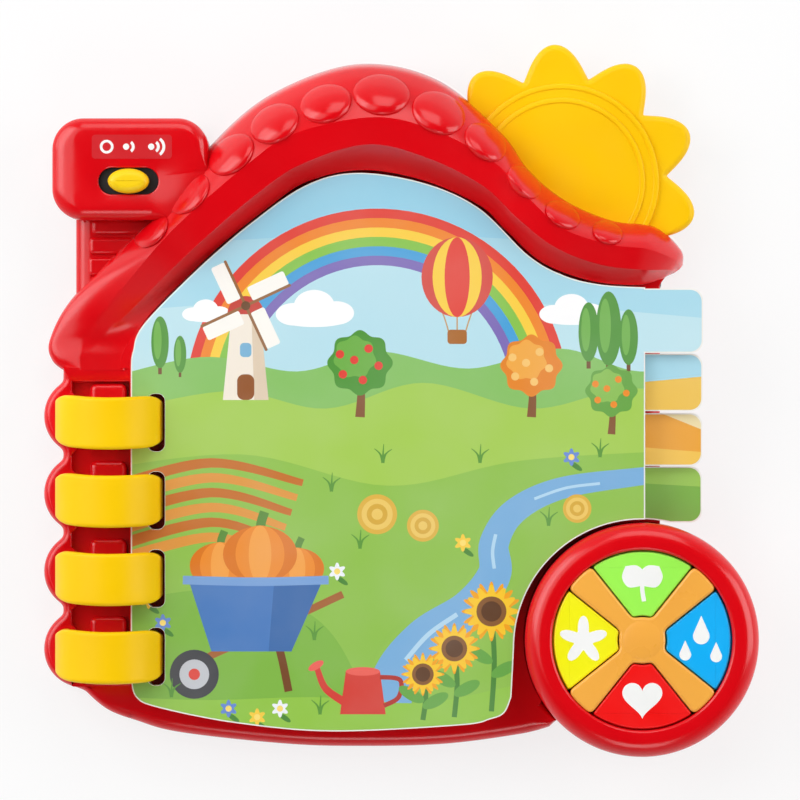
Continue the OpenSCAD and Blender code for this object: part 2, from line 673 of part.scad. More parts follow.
// Battery bay: the door, its screw, three cells and their contacts
module door_2d(grow) {
    polygon(rounded(-door_l / 2 - grow, -door_w / 2 - grow, door_l / 2 + 7 + grow, door_w / 2 + grow, 3));
}
module battery_door() {
    color(red) translate([bay_at.x, bay_at.y, 0]) difference() {
        linear_extrude(door_t) door_2d(0);
        translate([door_screw_x, 0, -eps]) cylinder(d = screw_d + 0.4, h = door_t + 1);
        translate([door_screw_x, 0, -eps]) cylinder(d = head_d + 0.4, h = 0.8);
    }
}
module screw(at, length, d) {
    translate(at) {
        cylinder(d = 2 * d, h = head_h * d / screw_d);
        cylinder(d = d, h = length);
    }
}
module battery_door_screw() {
    color(steel) translate([bay_at.x + door_screw_x, bay_at.y, 0.1]) {
        cylinder(d = head_d, h = 0.6);
        cylinder(d = screw_d, h = bay_floor + 0.4);
    }
}
function cell_y(k) = bay_at.y + (k - (cell_count - 1) / 2) * cell_pitch;
function cell_side(k) = k % 2 == 0 ? 1 : -1;
cell_nub = 1.2;
module batteries() {
    color("goldenrod") for (k = [0:cell_count - 1])
        translate([bay_at.x, cell_y(k), cell_z]) rotate([0, cell_side(k) * 90, 0]) {
            translate([0, 0, -cell_l / 2]) cylinder(d = cell_d, h = cell_l - cell_nub);
            cylinder(d = cell_d * 0.36, h = cell_l / 2);
        }
}
contact_t = 0.6;
module battery_springs() {
    gap = (bay_l - cell_l) / 2;
    color(steel) for (k = [0:cell_count - 1])
        translate([bay_at.x - cell_side(k) * (bay_l / 2 - fit), cell_y(k), cell_z])
        rotate([0, cell_side(k) * 90, 0]) {
            translate([-3.5, -3.5, 0]) cube([7, 7, contact_t]);
            cylinder(d1 = 6.4, d2 = 4, h = gap - 2 * fit);
        }
}
module battery_plates() {
    gap = (bay_l - cell_l) / 2;
    color(steel) for (k = [0:cell_count - 1])
        translate([bay_at.x + cell_side(k) * (bay_l / 2 - fit), cell_y(k), cell_z])
        rotate([0, -cell_side(k) * 90, 0]) {
            translate([-3.5, -3.5, 0]) cube([7, 7, contact_t]);
            cylinder(d = 5, h = gap - 2 * fit);
        }
}

// Loudspeaker: a pressed basket, a paper cone and the magnet
basket_r = speaker_d / 2 - 4.5;
module speaker_frame() {
    color(steel) translate([speaker_at.x, speaker_at.y, speaker_foot]) rotate_extrude() polygon([
        [basket_r, 0], [speaker_d / 2, 0], [speaker_d / 2, speaker_rim], [basket_r + 1.2, speaker_rim],
        [magnet_r + 1, speaker_rim + basket_h], [6, speaker_rim + basket_h],
        [6, speaker_rim + basket_h - 1], [magnet_r + 0.4, speaker_rim + basket_h - 1],
        [basket_r, speaker_rim]]);
}
module speaker_cone() {
    color("#333333") translate([speaker_at.x, speaker_at.y, speaker_foot]) rotate_extrude() polygon([
        [basket_r - fit, 0.2], [basket_r - fit, 1], [5.4, speaker_rim + basket_h - 2],
        [0, speaker_rim + basket_h - 2], [0, speaker_rim + basket_h - 2.6],
        [5.2, speaker_rim + basket_h - 2.6], [basket_r - 1.5, 0.2]]);
}
module speaker_magnet() {
    color("#555555") translate([speaker_at.x, speaker_at.y, speaker_foot + speaker_rim + basket_h])
        cylinder(r = magnet_r, h = 4);
}

// Boards and what is on them
module main_board() {
    color(board_green) difference() {
        translate([main_x0, main_y0, main_z]) cube([main_x1 - main_x0, main_y1 - main_y0, board_t]);
        for (p = main_posts) translate([p.x, p.y, main_z - 1])
            cylinder(d = board_screw_d + 0.3, h = board_t + 2);
    }
}
chip_r = 6;
module sound_chip() {
    color("black") translate([(main_x0 + main_x1) / 2, (main_y0 + main_y1) / 2, main_z + board_t])
        cylinder(r1 = chip_r, r2 = chip_r - 2, h = 1.8);
}
module sensor_board() {
    color(board_green) translate([sensor_x - strip_w / 2, strip_y0, strip_z])
        cube([strip_w, strip_y1 - strip_y0, board_t]);
}
module page_sensors() {
    color("black") for (i = [1:page_count])
        translate([sensor_x - 2, magnet_at(i).y - 1.5, strip_z + board_t]) cube([4, 3, 1]);
}
module case_screws() {
    color(steel) for (p = posts)
        screw([p.x, p.y, head_seat - head_h], screw_top - head_seat + head_h - 0.2, screw_d);
}
module board_screws() {
    color(steel) for (p = main_posts) translate([p.x, p.y, main_z + board_t]) {
        cylinder(d = 2 * board_screw_d, h = 1.2);
        translate([0, 0, -board_t - 4]) cylinder(d = board_screw_d, h = board_t + 4);
    }
}

// Leads: a six-sided tube along a route of points chosen by hand
lead_sides = 6;
lead_steps = 4;
module lead(route, paint) {
    path = spline(route, lead_steps);
    n = len(path);
    side = [for (i = [0:n - 1])
        let (q = path[min(n - 1, i + 1)] - path[max(0, i - 1)], u = q / norm(q),
             a = cross(u, abs(u.z) > 0.9 ? [0, 1, 0] : [0, 0, 1]), b = a / norm(a))
        [b, cross(u, b)]];
    points = [for (i = [0:n - 1], k = [0:lead_sides - 1]) let (w = 360 * k / lead_sides)
        path[i] + lead_d / 2 * (cos(w) * side[i][0] + sin(w) * side[i][1])];
    faces = concat(
        [for (i = [0:n - 2], k = [0:lead_sides - 1])
            let (a = i * lead_sides + k, b = i * lead_sides + (k + 1) % lead_sides,
                 c = a + lead_sides, d = b + lead_sides)
            each [[a, b, d], [a, d, c]]],
        [[for (k = [lead_sides - 1:-1:0]) k], [for (k = [0:lead_sides - 1]) (n - 1) * lead_sides + k]]);
    color(paint) polyhedron(points, faces);
}
board_mid = main_z + board_t / 2;
lead_gap = 0.2;
module speaker_lead() {
    lead([[5.5, -60, 7.4], [20, -58, 7], [34, -44, 7], [40, main_y0 - 4, board_mid],
        [40, main_y0 - lead_gap, board_mid]], "black");
}
module battery_lead() {
    lead([[bay_at.x + bay_l / 2 + bay_wall + lead_gap, 18, 9], [15, 18, 9], [22, 12, board_mid],
        [main_x0 - lead_gap, 12, board_mid]], "firebrick");
}
module selector_lead() {
    lead([[slot_at.x, slot_at.y - 4 - lead_gap, switch_top - 3], [slot_at.x, slot_at.y - 6, switch_top - 3],
        [-96, 69.5, 14], [-98, 63, 9], [-92, 52, 7], [-82, 38, 7], [-78, 14, 7], [-58, 1, 7], [-30, 1, 7],
        [10, 0, 7.4], [20, -2, board_mid], [main_x0 - lead_gap, -2, board_mid]], "black");
}
module button_lead() {
    edge_x = keypad.x - key_board_r;
    lead([[edge_x - lead_gap, keypad.y, key_board_z + 0.8], [edge_x - 1.4, keypad.y, key_board_z + 0.8],
        [edge_x - 2.1, keypad.y + 1, key_board_z - 3], [edge_x - 2.1, keypad.y + 4, rear_depth],
        [50, keypad.y + 12, 7], [52, -52, 7], [50, main_y0 - 4, board_mid],
        [50, main_y0 - lead_gap, board_mid]], "black");
}

rear_cover();
front_casing();
roof_shell();
chimney_shell();
sun_front();
ring(1);  // ring_1
ring(2);  // ring_2
ring(3);  // ring_3
ring(4);  // ring_4
page(1);  // page_1
page(2);  // page_2
page(3);  // page_3
page(4);  // page_4
page_magnet(1);  // page_1_magnet
page_magnet(2);  // page_2_magnet
page_magnet(3);  // page_3_magnet
page_magnet(4);  // page_4_magnet
button_bezel();
button_cross();
button(0, "#a0ff57");  // button_green
button(-90, "#00b7ff");  // button_blue
button(180, "#ff0000");  // button_red
button(90, "#ffff00");  // button_yellow
keypad_membrane();
button_board();
selector_knob();
selector_label();
selector_switch();
battery_door();
battery_door_screw();
batteries();
battery_springs();
battery_plates();
speaker_frame();
speaker_cone();
speaker_magnet();
main_board();
sound_chip();
sensor_board();
page_sensors();
case_screws();
board_screws();
speaker_lead();
battery_lead();
selector_lead();
button_lead();
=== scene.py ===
import bmesh
import bpy
import numpy as np
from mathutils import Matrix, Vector, geometry


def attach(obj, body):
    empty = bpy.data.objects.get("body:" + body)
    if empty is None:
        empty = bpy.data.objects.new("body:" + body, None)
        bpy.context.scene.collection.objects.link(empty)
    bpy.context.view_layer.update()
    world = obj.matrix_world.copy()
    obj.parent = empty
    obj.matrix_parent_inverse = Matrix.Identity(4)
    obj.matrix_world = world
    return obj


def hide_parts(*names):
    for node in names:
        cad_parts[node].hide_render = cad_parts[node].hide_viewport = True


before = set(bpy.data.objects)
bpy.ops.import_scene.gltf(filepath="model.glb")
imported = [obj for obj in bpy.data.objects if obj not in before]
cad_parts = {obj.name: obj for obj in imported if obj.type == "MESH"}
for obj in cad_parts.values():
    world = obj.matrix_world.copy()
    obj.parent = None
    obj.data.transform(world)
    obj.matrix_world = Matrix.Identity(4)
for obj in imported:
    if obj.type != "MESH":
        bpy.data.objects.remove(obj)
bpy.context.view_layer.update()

# Studio, in metres: a pale table under soft boxes on all sides, which draw the long highlights on the
# rounded edges. The camera looks straight down on the cover.
scene = bpy.context.scene
scene.view_settings.view_transform = "Standard"


def linear(hex_colour):
    """An sRGB hex colour as linear RGBA: each channel by the sRGB curve."""
    srgb = np.array([int(hex_colour[k : k + 2], 16) / 255 for k in (1, 3, 5)])
    rgb = np.where(srgb <= 0.04045, srgb / 12.92, ((srgb + 0.055) / 1.055) ** 2.4)
    return (*rgb.tolist(), 1.0)


def add_node(tree, kind, inputs=None, **settings):
    """Adds a shader node: settings are its properties, inputs are links or values of its sockets."""
    made = tree.nodes.new(kind)
    for name, value in settings.items():
        setattr(made, name, value)
    for name, value in (inputs or {}).items():
        if isinstance(value, bpy.types.NodeSocket):
            tree.links.new(value, made.inputs[name])
        else:
            made.inputs[name].default_value = value
    return made


def empty_tree(owner):
    """Turns on an owner's nodes and returns the tree with nothing in it."""
    owner.use_nodes = True
    owner.node_tree.nodes.clear()
    return owner.node_tree


# The room is bright near the horizon and dim above, so that level faces keep their own colour
world = bpy.data.worlds.new("studio_white")
scene.world = world
tree = empty_tree(world)
direction = add_node(tree, "ShaderNodeTexCoord").outputs["Generated"]
facing = add_node(tree, "ShaderNodeSeparateXYZ", {0: direction})
height = add_node(tree, "ShaderNodeMapRange", {
    "Value": facing.outputs["Z"], "From Min": 0.1, "From Max": 0.75, "To Min": 0.7, "To Max": 0.03})
room = add_node(tree, "ShaderNodeBackground", {
    "Color": linear("#F4F6FA"), "Strength": height.outputs["Result"]})
add_node(tree, "ShaderNodeOutputWorld", {"Surface": room.outputs[0]})

# The table is matt white paper. Four fifths of the white that is seen is its own; the rest takes the shadow
table_white = 0.8
table_half = 3
table_z = -0.0004
table_paper = bpy.data.materials.new("white_paper_table")
tree = empty_tree(table_paper)
path = add_node(tree, "ShaderNodeLightPath")
paper = add_node(tree, "ShaderNodeBsdfDiffuse", {"Color": linear("#F6F6F6")})
glow = add_node(tree, "ShaderNodeEmission", {"Color": linear("#FFFFFF"), "Strength": 1.0})
seen = add_node(tree, "ShaderNodeMath", {0: path.outputs["Is Camera Ray"], 1: path.outputs["Is Glossy Ray"]},
                operation="MAXIMUM")
share = add_node(tree, "ShaderNodeMath", {0: seen.outputs[0], 1: table_white}, operation="MULTIPLY")
both = add_node(tree, "ShaderNodeMixShader", {0: share.outputs[0], 1: paper.outputs[0], 2: glow.outputs[0]})
add_node(tree, "ShaderNodeOutputMaterial", {"Surface": both.outputs[0]})
table_corners = [(x * table_half, y * table_half, table_z) for x, y in ((-1, -1), (1, -1), (1, 1), (-1, 1))]
table_mesh = bpy.data.meshes.new("table")
table_mesh.from_pydata(table_corners, [], [(0, 1, 2, 3)])
table_mesh.materials.append(table_paper)
table = bpy.data.objects.new("table", table_mesh)
scene.collection.objects.link(table)

# Name, place, size and watts of each soft box
soft_boxes = (
    ("left_box", (-1.25, 0.65, 0.85), 1.3, 14),
    ("high_left_box", (-0.9, 0.4, 1.3), 1.3, 8),
    ("right_box", (1.35, 0.2, 0.8), 1.1, 12),
    ("far_box", (0.2, 1.3, 1.2), 1.0, 7),
    ("near_box", (0.1, -1.5, 1.6), 0.8, 6),
)
for name, place, size, watts in soft_boxes:
    lamp = bpy.data.lights.new(name, "AREA")
    lamp.size = size
    lamp.energy = watts
    box = bpy.data.objects.new(name, lamp)
    box.location = place
    box.rotation_mode = "QUATERNION"
    box.rotation_quaternion = (-Vector(place)).to_track_quat("-Z", "Y")
    scene.collection.objects.link(box)

camera_height = 3.0
view_width = 0.28
page_level = 0.031
camera_data = bpy.data.cameras.new("camera")
camera_data.sensor_width = 36
camera_data.lens = camera_data.sensor_width * camera_height / view_width
camera = bpy.data.objects.new("camera", camera_data)
camera.location = (0, 0, page_level + camera_height)
scene.collection.objects.link(camera)
scene.camera = camera

# Rear cover: a deep tray of red ABS from one mould, with screw posts, a battery bay and a
# loudspeaker grille. It is the CAD solid itself, in the gloss of a polished tool.


def per_metre(size_mm):
    """A pattern scale for a feature of that size: features in one metre."""
    return 1000 / size_mm


def new_finish(name):
    """A new material, its empty tree and the Object coordinates that its patterns lie on."""
    material = bpy.data.materials.new(name)
    tree = empty_tree(material)
    return material, tree, add_node(tree, "ShaderNodeTexCoord").outputs["Object"]


def moulded_plastic(name, colour, roughness, depth_mm=0.01, shade=0.05, specular=0.5):
    """Injection-moulded plastic: a flow shade over 45 mm, a polish that varies over 12 mm and a
    fine tool texture, drawn at 0.9 mm so that it shows, depth_mm deep."""
    material, tree, place = new_finish(name)
    flow = add_node(tree, "ShaderNodeTexNoise", {"Vector": place, "Scale": per_metre(45), "Detail": 2.0})
    polish = add_node(tree, "ShaderNodeTexNoise", {"Vector": place, "Scale": per_metre(12), "Detail": 3.0})
    tool = add_node(tree, "ShaderNodeTexNoise", {"Vector": place, "Scale": per_metre(0.9), "Detail": 2.0})
    base = np.array(linear(colour)[:3])
    ramp = add_node(tree, "ShaderNodeValToRGB", {"Fac": flow.outputs["Fac"]})
    for stop, at, tint in zip(ramp.color_ramp.elements, (0.3, 0.7), (1 - shade, 1 + shade)):
        stop.position = at
        stop.color = (*np.minimum(base * tint, 1), 1)
    rough = add_node(tree, "ShaderNodeMapRange", {
        "Value": polish.outputs["Fac"], "From Min": 0.3, "From Max": 0.7,
        "To Min": roughness * 0.85, "To Max": roughness * 1.15})
    bump = add_node(tree, "ShaderNodeBump", {
        "Height": tool.outputs["Fac"], "Strength": 0.25, "Distance": depth_mm / 1000})
    shader = add_node(tree, "ShaderNodeBsdfPrincipled", {
        "Base Color": ramp.outputs["Color"], "Roughness": rough.outputs["Result"],
        "Normal": bump.outputs["Normal"], "IOR": 1.53, "Specular IOR Level": specular})
    add_node(tree, "ShaderNodeOutputMaterial", {"Surface": shader.outputs[0]})
    return material


def dress(material, slot, *nodes):
    """Gives CAD nodes that keep their shape a finish."""
    for name in nodes:
        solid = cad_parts[name]
        solid.data.materials.clear()
        solid.data.materials.append(material)


# A polished mould gives wet, long highlights that waver a little
red_abs = moulded_plastic("gloss_red_abs", "#E00411", 0.2)
dress(red_abs, "casing_red", "rear_cover", "battery_door")

# Front casing: the red ABS deck that carries the pages, moulded with its skirt and clipped to the
# rear cover. Its outer edge is well rounded, so that a child can lean on it.
seam = 12.15
wall = 2.2
deck_top = 17.7
side_x = 91.5
spine_edge = -95
keypad = np.array([84.7, -84])
bezel_r = 41
bottom_curve = [[-118.5, -88], [-117, -95], [-113, -100], [-103.6, -108.5], [-93, -112.7], [-77, -117],
                [-40, -121], [-13, -121.8], [16, -121], [42, -117.6], [52.5, -115]]
roof_outer = [[-117, 9.5], [-122.4, 13.8], [-123.3, 21.4], [-115, 36.4], [-93.1, 58.1], [-81.7, 68.8],
              [-66.7, 89.5], [-45.4, 107.6], [-15.5, 118.2], [12.5, 113], [35.4, 94.5], [45, 81.4],
              [57.8, 70.7], [74, 63.6], [89.5, 61.2], [98.8, 53], [99.6, 47.6]]
roof_inner = [[-97, 10.5], [-96, 15.5], [-93.6, 20.5], [-87.7, 30], [-70.4, 47], [-60.6, 55.9],
              [-45.5, 67.7], [-32.8, 76.2], [-13.5, 80.3], [8.2, 76.7], [27.9, 67.9], [37, 59.2],
              [49.9, 47.9], [66.8, 41.6], [83, 40.2], [91.6, 42.4], [93.6, 43.4]]
roof_ridge = [[-108.5, 10.5], [-109.2, 16], [-105.5, 21.5], [-95.5, 30.5], [-79, 46.5], [-66.5, 58],
              [-50.5, 71.5], [-35, 82], [-11.5, 89.2], [9.5, 84.5], [29, 74.7], [41, 63.5], [53.7, 53.6],
              [69, 47.5], [84, 45.6], [94.2, 45.6], [96.4, 44.6]]


def on_spline(points, places):
    """A Catmull-Rom curve through points, at places that count the points from 0."""
    points = np.asarray(points, float)
    ends = np.concatenate([points[:1], points, points[-1:]])
    first = np.clip(np.floor(places).astype(int), 0, len(points) - 2)
    t = (places - first).reshape(first.shape + (1,) * (points.ndim - 1))
    a, b, c, d = (ends[first + k] for k in range(4))
    return 0.5 * (2 * b + (c - a) * t + (2 * a - 5 * b + 4 * c - d) * t**2 + (3 * b - a - 3 * c + d) * t**3)


def spline(points, steps=12):
    """The whole curve through points, in even steps between each two."""
    return on_spline(points, np.linspace(0, len(points) - 1, (len(points) - 1) * steps + 1))


def arc(centre, radius, start, end, steps=24):
    """Points on a circle from one angle to another, in degrees."""
    angle = np.radians(np.linspace(start, end, steps + 1))
    return np.asarray(centre) + radius * np.stack([np.cos(angle), np.sin(angle)], -1)


def rounded(x0, y0, x1, y1, r, steps=10):
    """A rectangle with round corners, turning left from its right side."""
    centres = ((x1 - r, y1 - r), (x0 + r, y1 - r), (x0 + r, y0 + r), (x1 - r, y0 + r))
    return np.concatenate([arc(centre, r, 90 * k, 90 * k + 90, steps) for k, centre in enumerate(centres)])


def even(outline, count):
    """Points at even distances round a closed outline."""
    loop = np.concatenate([outline, outline[:1]])
    run = np.concatenate([[0], np.cumsum(np.linalg.norm(np.diff(loop, axis=0), axis=1))])
    at = np.linspace(0, run[-1], count, endpoint=False)
    return np.stack([np.interp(at, run, loop[:, k]) for k in (0, 1)], -1)


def inset(outline, distance):
    """Moves a left-turning outline inwards along its corner bisectors, by one distance or one for each
    point."""
    after = np.roll(outline, -1, 0) - outline
    normal = np.stack([-after[:, 1], after[:, 0]], -1) / np.linalg.norm(after, axis=1)[:, None]
    before = np.roll(normal, 1, 0)
    bisector = (normal + before) / np.maximum(1 + (normal * before).sum(1), 0.4)[:, None]
    return outline + np.reshape(distance, (-1, 1)) * bisector


def at_level(outline, z):
    """A flat outline as points at height z."""
    return np.column_stack([outline, np.broadcast_to(z, len(outline))])


def stack(loops, caps=True):
    """Quads between loops of equal length, each loop closing on itself, with a face over either end."""
    loops = np.array(loops)
    rows, count = loops.shape[:2]
    i, j = np.mgrid[0 : rows - 1, 0:count]
    k = (j + 1) % count
    faces = np.stack([i * count + j, i * count + k, (i + 1) * count + k, (i + 1) * count + j], -1)
    faces = faces.reshape(-1, 4).tolist()
    if caps:
        faces += [list(range(count))[::-1], list(range((rows - 1) * count, rows * count))]
    return loops.reshape(-1, 3), faces


def joined(*shapes):
    """Several (points, faces) shapes as one."""
    points, faces, used = [], [], 0
    for some_points, some_faces in shapes:
        points.append(some_points)
        faces += [[used + k for k in face] for face in some_faces]
        used += len(some_points)
    return np.concatenate(points), faces


def make_piece(name, shape, material, body, replaced=(), crease=38, colours=None):
    """A new piece from (points in millimetres, faces), closed at its seams, smooth up to a crease angle in
    degrees, with flat ends. Colours, one for each face, go into its print attribute."""
    mesh = bpy.data.meshes.new(name)
    mesh.from_pydata((shape[0] / 1000).tolist(), [], shape[1])
    work = bmesh.new()
    work.from_mesh(mesh)
    if colours:
        ink = work.loops.layers.float_color.new("print")
        for face, colour in zip(work.faces, colours):
            for corner in face.loops:
                corner[ink] = colour
    bmesh.ops.remove_doubles(work, verts=work.verts, dist=1e-6)
    bmesh.ops.dissolve_degenerate(work, edges=work.edges, dist=1e-7)
    bmesh.ops.delete(work, geom=[v for v in work.verts if not v.link_faces], context="VERTS")
    bmesh.ops.recalc_face_normals(work, faces=work.faces)
    work.to_mesh(mesh)
    work.free()
    mesh.set_sharp_from_angle(angle=np.radians(crease))
    mesh.polygons.foreach_set("use_smooth", [len(face.vertices) < 5 for face in mesh.polygons])
    mesh.materials.append(material)
    piece = bpy.data.objects.new(name, mesh)
    scene.collection.objects.link(piece)
    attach(piece, body)
    if replaced:
        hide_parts(*replaced)


def rounded_edge(outline, foot, top, radius, reach=1, steps=8):
    """Loops of a moulding: an upright wall from foot, then a quarter ellipse, radius high and radius times
    reach deep, up to top. Reach is one number or one for each point."""
    loops = [at_level(outline, foot)]
    for a in np.radians(np.linspace(0, 90, steps + 1)):
        ring = inset(outline, reach * radius * (1 - np.cos(a)))
        loops.append(at_level(ring, top - radius + radius * np.sin(a)))
    return loops


# The deck's outline runs a little under the roof's cove. At the left it runs past the spine's joint by the
# overlap, and its loops are cut off at the joint
under_cove = 0.15
overlap = 12
well_end = 10.8
right_corner = [[side_x, 40.7], [side_x + 1.1, 42.6]]
bottom_edge = spline(bottom_curve)
well = spline((1 - under_cove) * np.array(roof_inner) + under_cove * np.array(roof_ridge))[::-1]
well = well[(well[:, 1] > well_end + 0.1) & (well[:, 0] < side_x + 0.6)]
past_joint = [[spine_edge, well_end], [spine_edge - overlap, well_end - 0.1]]
deck = np.concatenate([bottom_edge[bottom_edge[:, 0] > spine_edge - overlap],
                       arc(keypad, bezel_r + 0.15, 224, 80.5, 40), right_corner, well, past_joint])
deck = even(deck, 900)

# The open edges below and at the right are round, and fade to sharp ones towards the bezel and the roof
edge_r = 4
edge_fade = 9
low_edge_y = -106
low_edge_end = 56
right_edge_foot = -43
right_edge_head = 41
low_edge = np.where(deck[:, 1] < low_edge_y, low_edge_end - deck[:, 0], 0)
right_edge = np.minimum(deck[:, 1] - right_edge_foot, right_edge_head - deck[:, 1])
right_edge = np.where(deck[:, 0] > side_x - 0.1, right_edge, 0)
deck_reach = np.clip(np.maximum(low_edge, right_edge) / edge_fade, 0.04, 1)
cavity = np.maximum(inset(deck, wall), [spine_edge + wall, -np.inf])
deck_loops = [at_level(cavity, deck_top - wall), at_level(cavity, seam)]
for loop in rounded_edge(deck, seam, deck_top, edge_r, deck_reach):
    at_joint = loop[:, 1] < well_end - 0.05
    loop[at_joint, 0] = np.maximum(loop[at_joint, 0], spine_edge)
    deck_loops.append(loop)

# A tapered prop closes the hollow under the roof's right end
prop_foot = np.array([[side_x - 0.7, 41.4], [side_x, 40.8], [93.5, 43.5], [96.3, 44.7], [99.3, 47.5],
                      [98, 49], [93, 45.4]])
prop_head = prop_foot.copy()
prop_head[4:6] = [[98.1, 46.1], [97, 47.8]]
prop_shape = stack([at_level(prop_foot, seam), at_level(prop_head, deck_top - 0.6)])
deck_shape = joined(stack(deck_loops), prop_shape)
make_piece("page_deck", deck_shape, red_abs, "base", ["front_casing"])

# Spine: the left edge of the front casing, with a round lobe beside each ring, a trough that the
# rings stand in and a rounded block under each ring. It is moulded with the deck.
ring_ys = [-8.2, -35.5, -62.8, -90.1]
spine_left, corner_y = bottom_curve[0]
spine_end = 11.4
lobe_x = -111.5
lobe_up = 2.6
lobe_r = 13.8
rim_top = 17.2
rim_r = 3.2
rim_reach = 0.7
trough = [-113.7, -99.8, -95, 6.4]
trough_bow = 1.6
trough_floor = 10.2
block_top = 16.4

corner = bottom_edge[bottom_edge[:, 0] < spine_edge]
spine_y = np.linspace(spine_end, corner[-1, 1], 1200)
straight = np.where(spine_y > corner_y, spine_left, np.interp(-spine_y, -corner[:, 1], corner[:, 0]))
beside = lobe_r**2 - (spine_y - np.array(ring_ys)[:, None] - lobe_up) ** 2
lobes = np.where(beside > 0, lobe_x - np.sqrt(np.maximum(beside, 0)), spine_edge)
spine_x = np.minimum(straight, lobes.min(0))

# A moving average fillets the hollows between the lobes
fillet_half = 20
fillet = np.hanning(2 * fillet_half + 1)
spine_x = np.pad(spine_x, fillet_half, mode="reflect", reflect_type="odd")
spine_x = np.convolve(spine_x, fillet / fillet.sum(), "valid")

# This outline runs past the joint too, and its edge gets as round as the deck's before it is cut off
beyond = spine_edge + overlap
spine = np.concatenate([np.column_stack([spine_x, spine_y]), [[beyond, spine_y[-1]], [beyond, spine_end]]])
spine = even(spine, 900)
near_deck = np.clip((spine[:, 0] - spine_edge) / overlap + 1, 0, 1)
deepest = rim_reach + (edge_r / rim_r - rim_reach) * near_deck
spine_reach = np.clip((spine_end - spine[:, 1]) / 6, 0.03, deepest)
between_rings = np.clip((np.abs(spine[:, 1:] - ring_ys).min(1) - 9.6) / 1.5, 0, 1)


def in_trough(margin):
    """The nearest point of the trough's mouth to each point of the spine, the mouth grown by margin. Its left
    side bows out between the rings, and its right side hardly grows, because the deck is there."""
    x0, y0, x1, y1 = trough
    x = np.clip(spine[:, 0], x0 - margin - trough_bow * between_rings, x1 + margin * 0.02)
    return np.column_stack([x, np.clip(spine[:, 1], y0 - margin, y1 + margin)])


spine_loops = rounded_edge(spine, seam, rim_top, rim_r, spine_reach)
spine_loops += [at_level(in_trough(1.0), rim_top), at_level(in_trough(0.3), rim_top - 0.3),
                at_level(in_trough(0), rim_top - 1), at_level(in_trough(0), trough_floor)]
spine_loops = [np.minimum(loop, [spine_edge + 0.1, np.inf, np.inf]) for loop in spine_loops]
blocks = []
for y in ring_ys:
    foot = even(rounded(-109, y - 9.4, -96, y + 14, 2.4, 40), 240)
    blocks.append(stack(rounded_edge(foot, trough_floor - 0.5, block_top, 1.8)))
make_piece("spine", joined(stack(spine_loops), *blocks), red_abs, "base", ["front_casing"])

# Roof: one long shell of the same red ABS with a bowed outer slope, a flat front and a cove down to a
# low wall beside the pages. Eleven domed tiles stand on its slope, from the same mould.
roof_face = [[-112.5, 10.5], [-112.5, 15.5], [-110.5, 23], [-102.4, 33], [-86, 52.4], [-73.5, 64.9],
             [-56, 80], [-38, 92.5], [-10, 98.7], [11, 94.5], [32.5, 83.2], [45.4, 69.9], [57.5, 59.6],
             [73.5, 54.3], [86.4, 52.8], [96, 49.2], [98.3, 46]]
roof_lift = [0, 0, 0, 0.2, 0.8, 1, 1, 1, 1, 1, 1, 1, 0.96, 0.87, 0.74, 0.4, 0]
roof_crest = 40
front_fall = 1.2
eave_top = 17.24
slope_bow = 0.4
slope_foot = 0.12
foot_rise = 0.52
cove_foot = 0.5
cove_power = 1.7


def roof_points(s, t):
    """The roof's skin: s runs along it, and t across it, 0 to 1 up the slope, to 2 over the front, to 3 down
    the cove. The slope is part quarter ellipse, part chamfer above a round foot."""
    curves = (roof_outer, roof_face, roof_ridge, roof_inner)
    outer, face, ridge, inner = (on_spline(curve, s) for curve in curves)
    u = t[..., None]
    front_or_cove = np.where(u < 2, face + (ridge - face) * (u - 1), ridge + (inner - ridge) * (u - 2))
    plan = np.where(u < 1, outer + (face - outer) * u, front_or_cove)
    lift = on_spline(roof_lift, s)
    crest_z = eave_top + (roof_crest - eave_top) * lift
    ridge_z = crest_z - front_fall * lift
    up = np.clip(t, 0, 1)
    chamfer = np.sqrt(np.sin(np.pi / 2 * np.clip(up / slope_foot, 0, 1))) * (foot_rise + (1 - foot_rise) * up)
    bow = np.sqrt(1 - (1 - up) ** 2)
    slope_z = seam + (crest_z - seam) * (slope_bow * bow + (1 - slope_bow) * chamfer)
    front_z = crest_z + (ridge_z - crest_z) * (t - 1)
    fall = np.clip(t - 2, 0, 1)
    cove = cove_foot + (1 - cove_foot) * (1 - fall) ** cove_power
    cove_z = deck_top + (ridge_z - deck_top) * np.where(fall < 1, cove, 0)
    level = np.where(t < 1, slope_z, np.where(t < 2, front_z, cove_z))
    return np.concatenate([plan, level[..., None]], -1)


slope_steps = 1 - np.cos(np.linspace(0, np.pi / 2, 22))
across = np.concatenate([slope_steps, np.linspace(1, 2, 7)[1:], np.linspace(2, 2.97, 18)[1:], [3]])
along = np.linspace(0, len(roof_outer) - 1, 321)
roof_top = roof_points(*np.meshgrid(along, across, indexing="ij"))

# The underside runs back from the cove to the slope, a wall's thickness lower, and stops at the seam
roof_under = roof_points(*np.meshgrid(along, np.linspace(2.73, 0.27, 24), indexing="ij"))
roof_under[..., 2] = np.maximum(roof_under[..., 2] - wall, seam)
roof_shape = stack(np.concatenate([roof_top, roof_under], 1))
make_piece("roof", roof_shape, red_abs, "base", ["roof_shell"], crease=18)

# Middle, half length and half width of each tile
tiles = [(-87.2, 59.2, 7.3, 4.7), (-73.9, 72.1, 8.6, 5.7), (-59, 85.8, 9, 6.2), (-43.8, 96.6, 9, 6.7),
         (-25.9, 103.6, 9.2, 6.8), (-6.5, 106.8, 10, 7.3), (13.5, 100.3, 9.7, 7.4), (29.9, 90.1, 8.2, 6),
         (43.4, 76.1, 7, 4.8), (56.9, 64.8, 6.6, 4.4), (72.6, 58.6, 5.5, 4.1)]
tile_rise = 3
tile_root = 0.8


